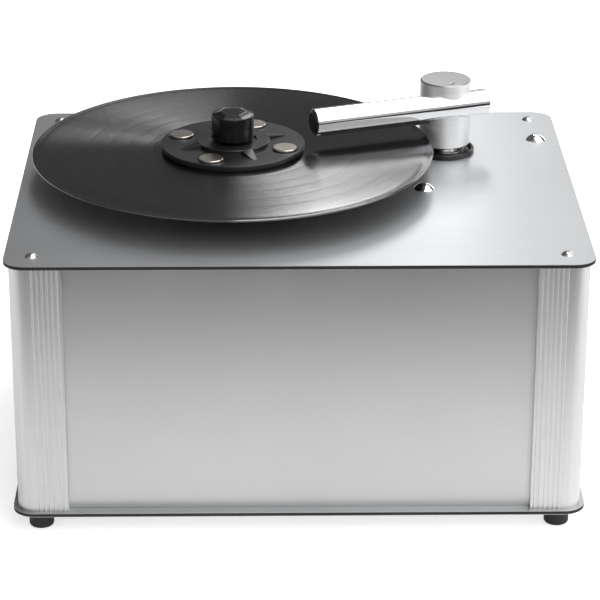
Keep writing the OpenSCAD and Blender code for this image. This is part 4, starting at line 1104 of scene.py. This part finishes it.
class CLEANER_OT_stage(Operator):
    """Lay the floor, hang the lights and set the camera"""

    bl_idname = "cleaner.stage"
    bl_label = "Studio"

    def execute(self, context):
        look = context.scene.cleaner_studio
        context.scene.view_settings.view_transform = "Standard"
        self.floor(look)
        self.world(context.scene, look)
        self.lamp("softbox_over", (0.44, 0.10, 1.12), (0.32, 0.06, 0.2), (0.76, 0.95), look.over)
        self.lamp("softbox_back", (0.15, 1.12, 1.06), (-0.02, 0.0, 0.21), (0.20, 0.50), look.back)
        self.lamp("softbox_right", (1.30, -0.15, 0.80), (0.0, 0.0, 0.20), (0.7, 0.7), look.side)
        self.lamp("softbox_front", (0.5, -1.7, 1.5), (0.0, -0.2, 0.0), (1.2, 0.9), look.fill)
        self.camera(context.scene, look)
        return {"FINISHED"}

    def floor(self, look):
        mesh = bpy.data.meshes.new("studio_floor")
        work = bmesh.new()
        bmesh.ops.create_grid(work, x_segments=8, y_segments=8, size=5.0)
        for vert in work.verts:
            vert.co.y += 5.0 - look.table_edge
        work.to_mesh(mesh)
        work.free()
        made, g, shader = start_material("floor_paper")
        grain = g.use(group("grain"), Place=g.object_place(), Size=120.0)
        tone = g.blend(g.spread(grain.outputs["Grain"], 0.3, 0.7), look.floor, scaled(look.floor, 1.02))
        g.link(tone, shader.inputs["Base Color"])
        shader.inputs["Roughness"].default_value = 0.9
        shader.inputs["Specular IOR Level"].default_value = 0.1
        path = g.node("ShaderNodeLightPath")
        g.feed(shader.inputs["Emission Color"], (1.0, 1.0, 1.0))
        seen = path.outputs["Is Camera Ray"]
        mirrored = g.math("MAXIMUM", path.outputs["Is Glossy Ray"], path.outputs["Is Transmission Ray"])
        g.link(
            g.math("ADD", g.math("MULTIPLY", seen, 0.62), g.math("MULTIPLY", mirrored, 0.2)),
            shader.inputs["Emission Strength"]
        )
        mesh.materials.append(made)
        floor = bpy.data.objects.new("studio_floor", mesh)
        bpy.context.scene.collection.objects.link(floor)

    def world(self, scene, look):
        """White to the camera; to the object, a room that is brighter behind and to the right."""
        world = bpy.data.worlds.new("studio_world")
        scene.world = world
        world.use_nodes = True
        g = Graph(world.node_tree)
        back = world.node_tree.nodes["Background"]
        direction = g.node("ShaderNodeTexCoord").outputs["Generated"]
        split = g.node("ShaderNodeSeparateXYZ")
        g.link(direction, split.inputs[0])
        across, along, height = split.outputs

        def rise(value, low, high, to_low=0.0, to_high=1.0):
            return g.spread(value, low, high, to_low, to_high, smooth=True)

        def toward(x, y):
            return g.vector("DOT_PRODUCT", direction, (x, y, 0.0))

        front = g.math(
            "MULTIPLY", rise(along, -0.05, -0.5, 0.0, look.room_front), g.spread(height, -0.02, 0.03)
        )
        over = g.math("MULTIPLY", rise(across, 0.006, 0.014), rise(toward(0.743, 0.669), 0.619, 0.611))
        over = g.math("MULTIPLY", over, rise(height, 0.26, 0.36, 0.0, look.panel_over))
        side = g.math(
            "MULTIPLY", rise(toward(0.423, 0.906), 0.825, 0.845), rise(toward(0.052, 0.999), 0.922, 0.912)
        )
        side = g.math("MULTIPLY", side, rise(height, 0.10, 0.16, 0.0, look.panel_side))
        side = g.math("MULTIPLY", side, rise(across, 0.02, 0.06))
        glow = g.math("MULTIPLY", rise(height, 0.03, 0.12, 0.45, 0.0), rise(along, 0.0, 0.5))
        level = g.math(
            "ADD", g.math("ADD", front, g.math("ADD", over, side)), g.math("ADD", glow, look.world)
        )
        level = g.math("MULTIPLY", level, g.spread(height, -0.03, 0.0, 0.3, 1.0))
        seen = g.node("ShaderNodeLightPath").outputs["Is Camera Ray"]
        strength = g.math("ADD", g.math("MULTIPLY", level, g.math("SUBTRACT", 1.0, seen)), seen)
        back.inputs["Color"].default_value = (1, 1, 1, 1)
        g.link(strength, back.inputs["Strength"])

    def lamp(self, name, place, aim, size, power):
        light = bpy.data.lights.new(name, "AREA")
        light.shape = "RECTANGLE"
        light.size, light.size_y = size
        light.energy = power
        lamp = bpy.data.objects.new(name, light)
        bpy.context.scene.collection.objects.link(lamp)
        lamp.location = place
        lamp.rotation_euler = (Vector(aim) - Vector(place)).to_track_quat("-Z", "Y").to_euler()

    def camera(self, scene, look):
        data = bpy.data.cameras.new("photo_camera")
        data.sensor_width = 36.0
        data.lens = look.lens
        data.clip_start, data.clip_end = 0.05, 50.0
        camera = bpy.data.objects.new("photo_camera", data)
        scene.collection.objects.link(camera)
        forward = Vector((
            math.sin(look.yaw) * math.cos(look.pitch), math.cos(look.yaw) * math.cos(look.pitch),
            -math.sin(look.pitch)
        ))
        right = Vector((math.cos(look.yaw), -math.sin(look.yaw), 0.0))
        up = right.cross(forward)
        tilt_right = right * math.cos(look.roll) + up * math.sin(look.roll)
        tilt_up = up * math.cos(look.roll) - right * math.sin(look.roll)
        basis = Matrix((tilt_right, tilt_up, -forward)).transposed()
        camera.matrix_world = Matrix.Translation(look.camera_place) @ basis.to_4x4()
        scene.camera = camera


OPERATORS = (
    CLEANER_OT_plates,
    CLEANER_OT_posts,
    CLEANER_OT_panels,
    CLEANER_OT_fasteners,
    CLEANER_OT_record,
    CLEANER_OT_clamp,
    CLEANER_OT_arm,
    CLEANER_OT_drive,
    CLEANER_OT_waste,
    CLEANER_OT_vacuum,
    CLEANER_OT_controls,
    CLEANER_OT_stage,
)


class CLEANER_PT_panel(Panel):
    """Lists the pieces and their settings"""

    bl_label = "Record Cleaner"
    bl_idname = "CLEANER_PT_panel"
    bl_space_type = "VIEW_3D"
    bl_region_type = "UI"
    bl_category = "Record Cleaner"

    def draw(self, context):
        column = self.layout.column()
        for operator in OPERATORS:
            column.operator(operator.bl_idname)
        for key, kind in SETTINGS.items():
            box = self.layout.box()
            box.label(text=key.split("_")[1].capitalize())
            for prop in kind.__annotations__:
                box.prop(getattr(context.scene, key), prop)


def register():
    for kind in (*SETTINGS.values(), *OPERATORS, CLEANER_PT_panel):
        bpy.utils.register_class(kind)
    for key, kind in SETTINGS.items():
        setattr(bpy.types.Scene, key, PointerProperty(type=kind))


def unregister():
    for key in SETTINGS:
        delattr(bpy.types.Scene, key)
    for kind in reversed((*SETTINGS.values(), *OPERATORS, CLEANER_PT_panel)):
        bpy.utils.unregister_class(kind)


def main():
    register()
    for operator in OPERATORS:
        family, name = operator.bl_idname.split(".")
        getattr(getattr(bpy.ops, family), name)()


if __name__ == "__main__":
    main()
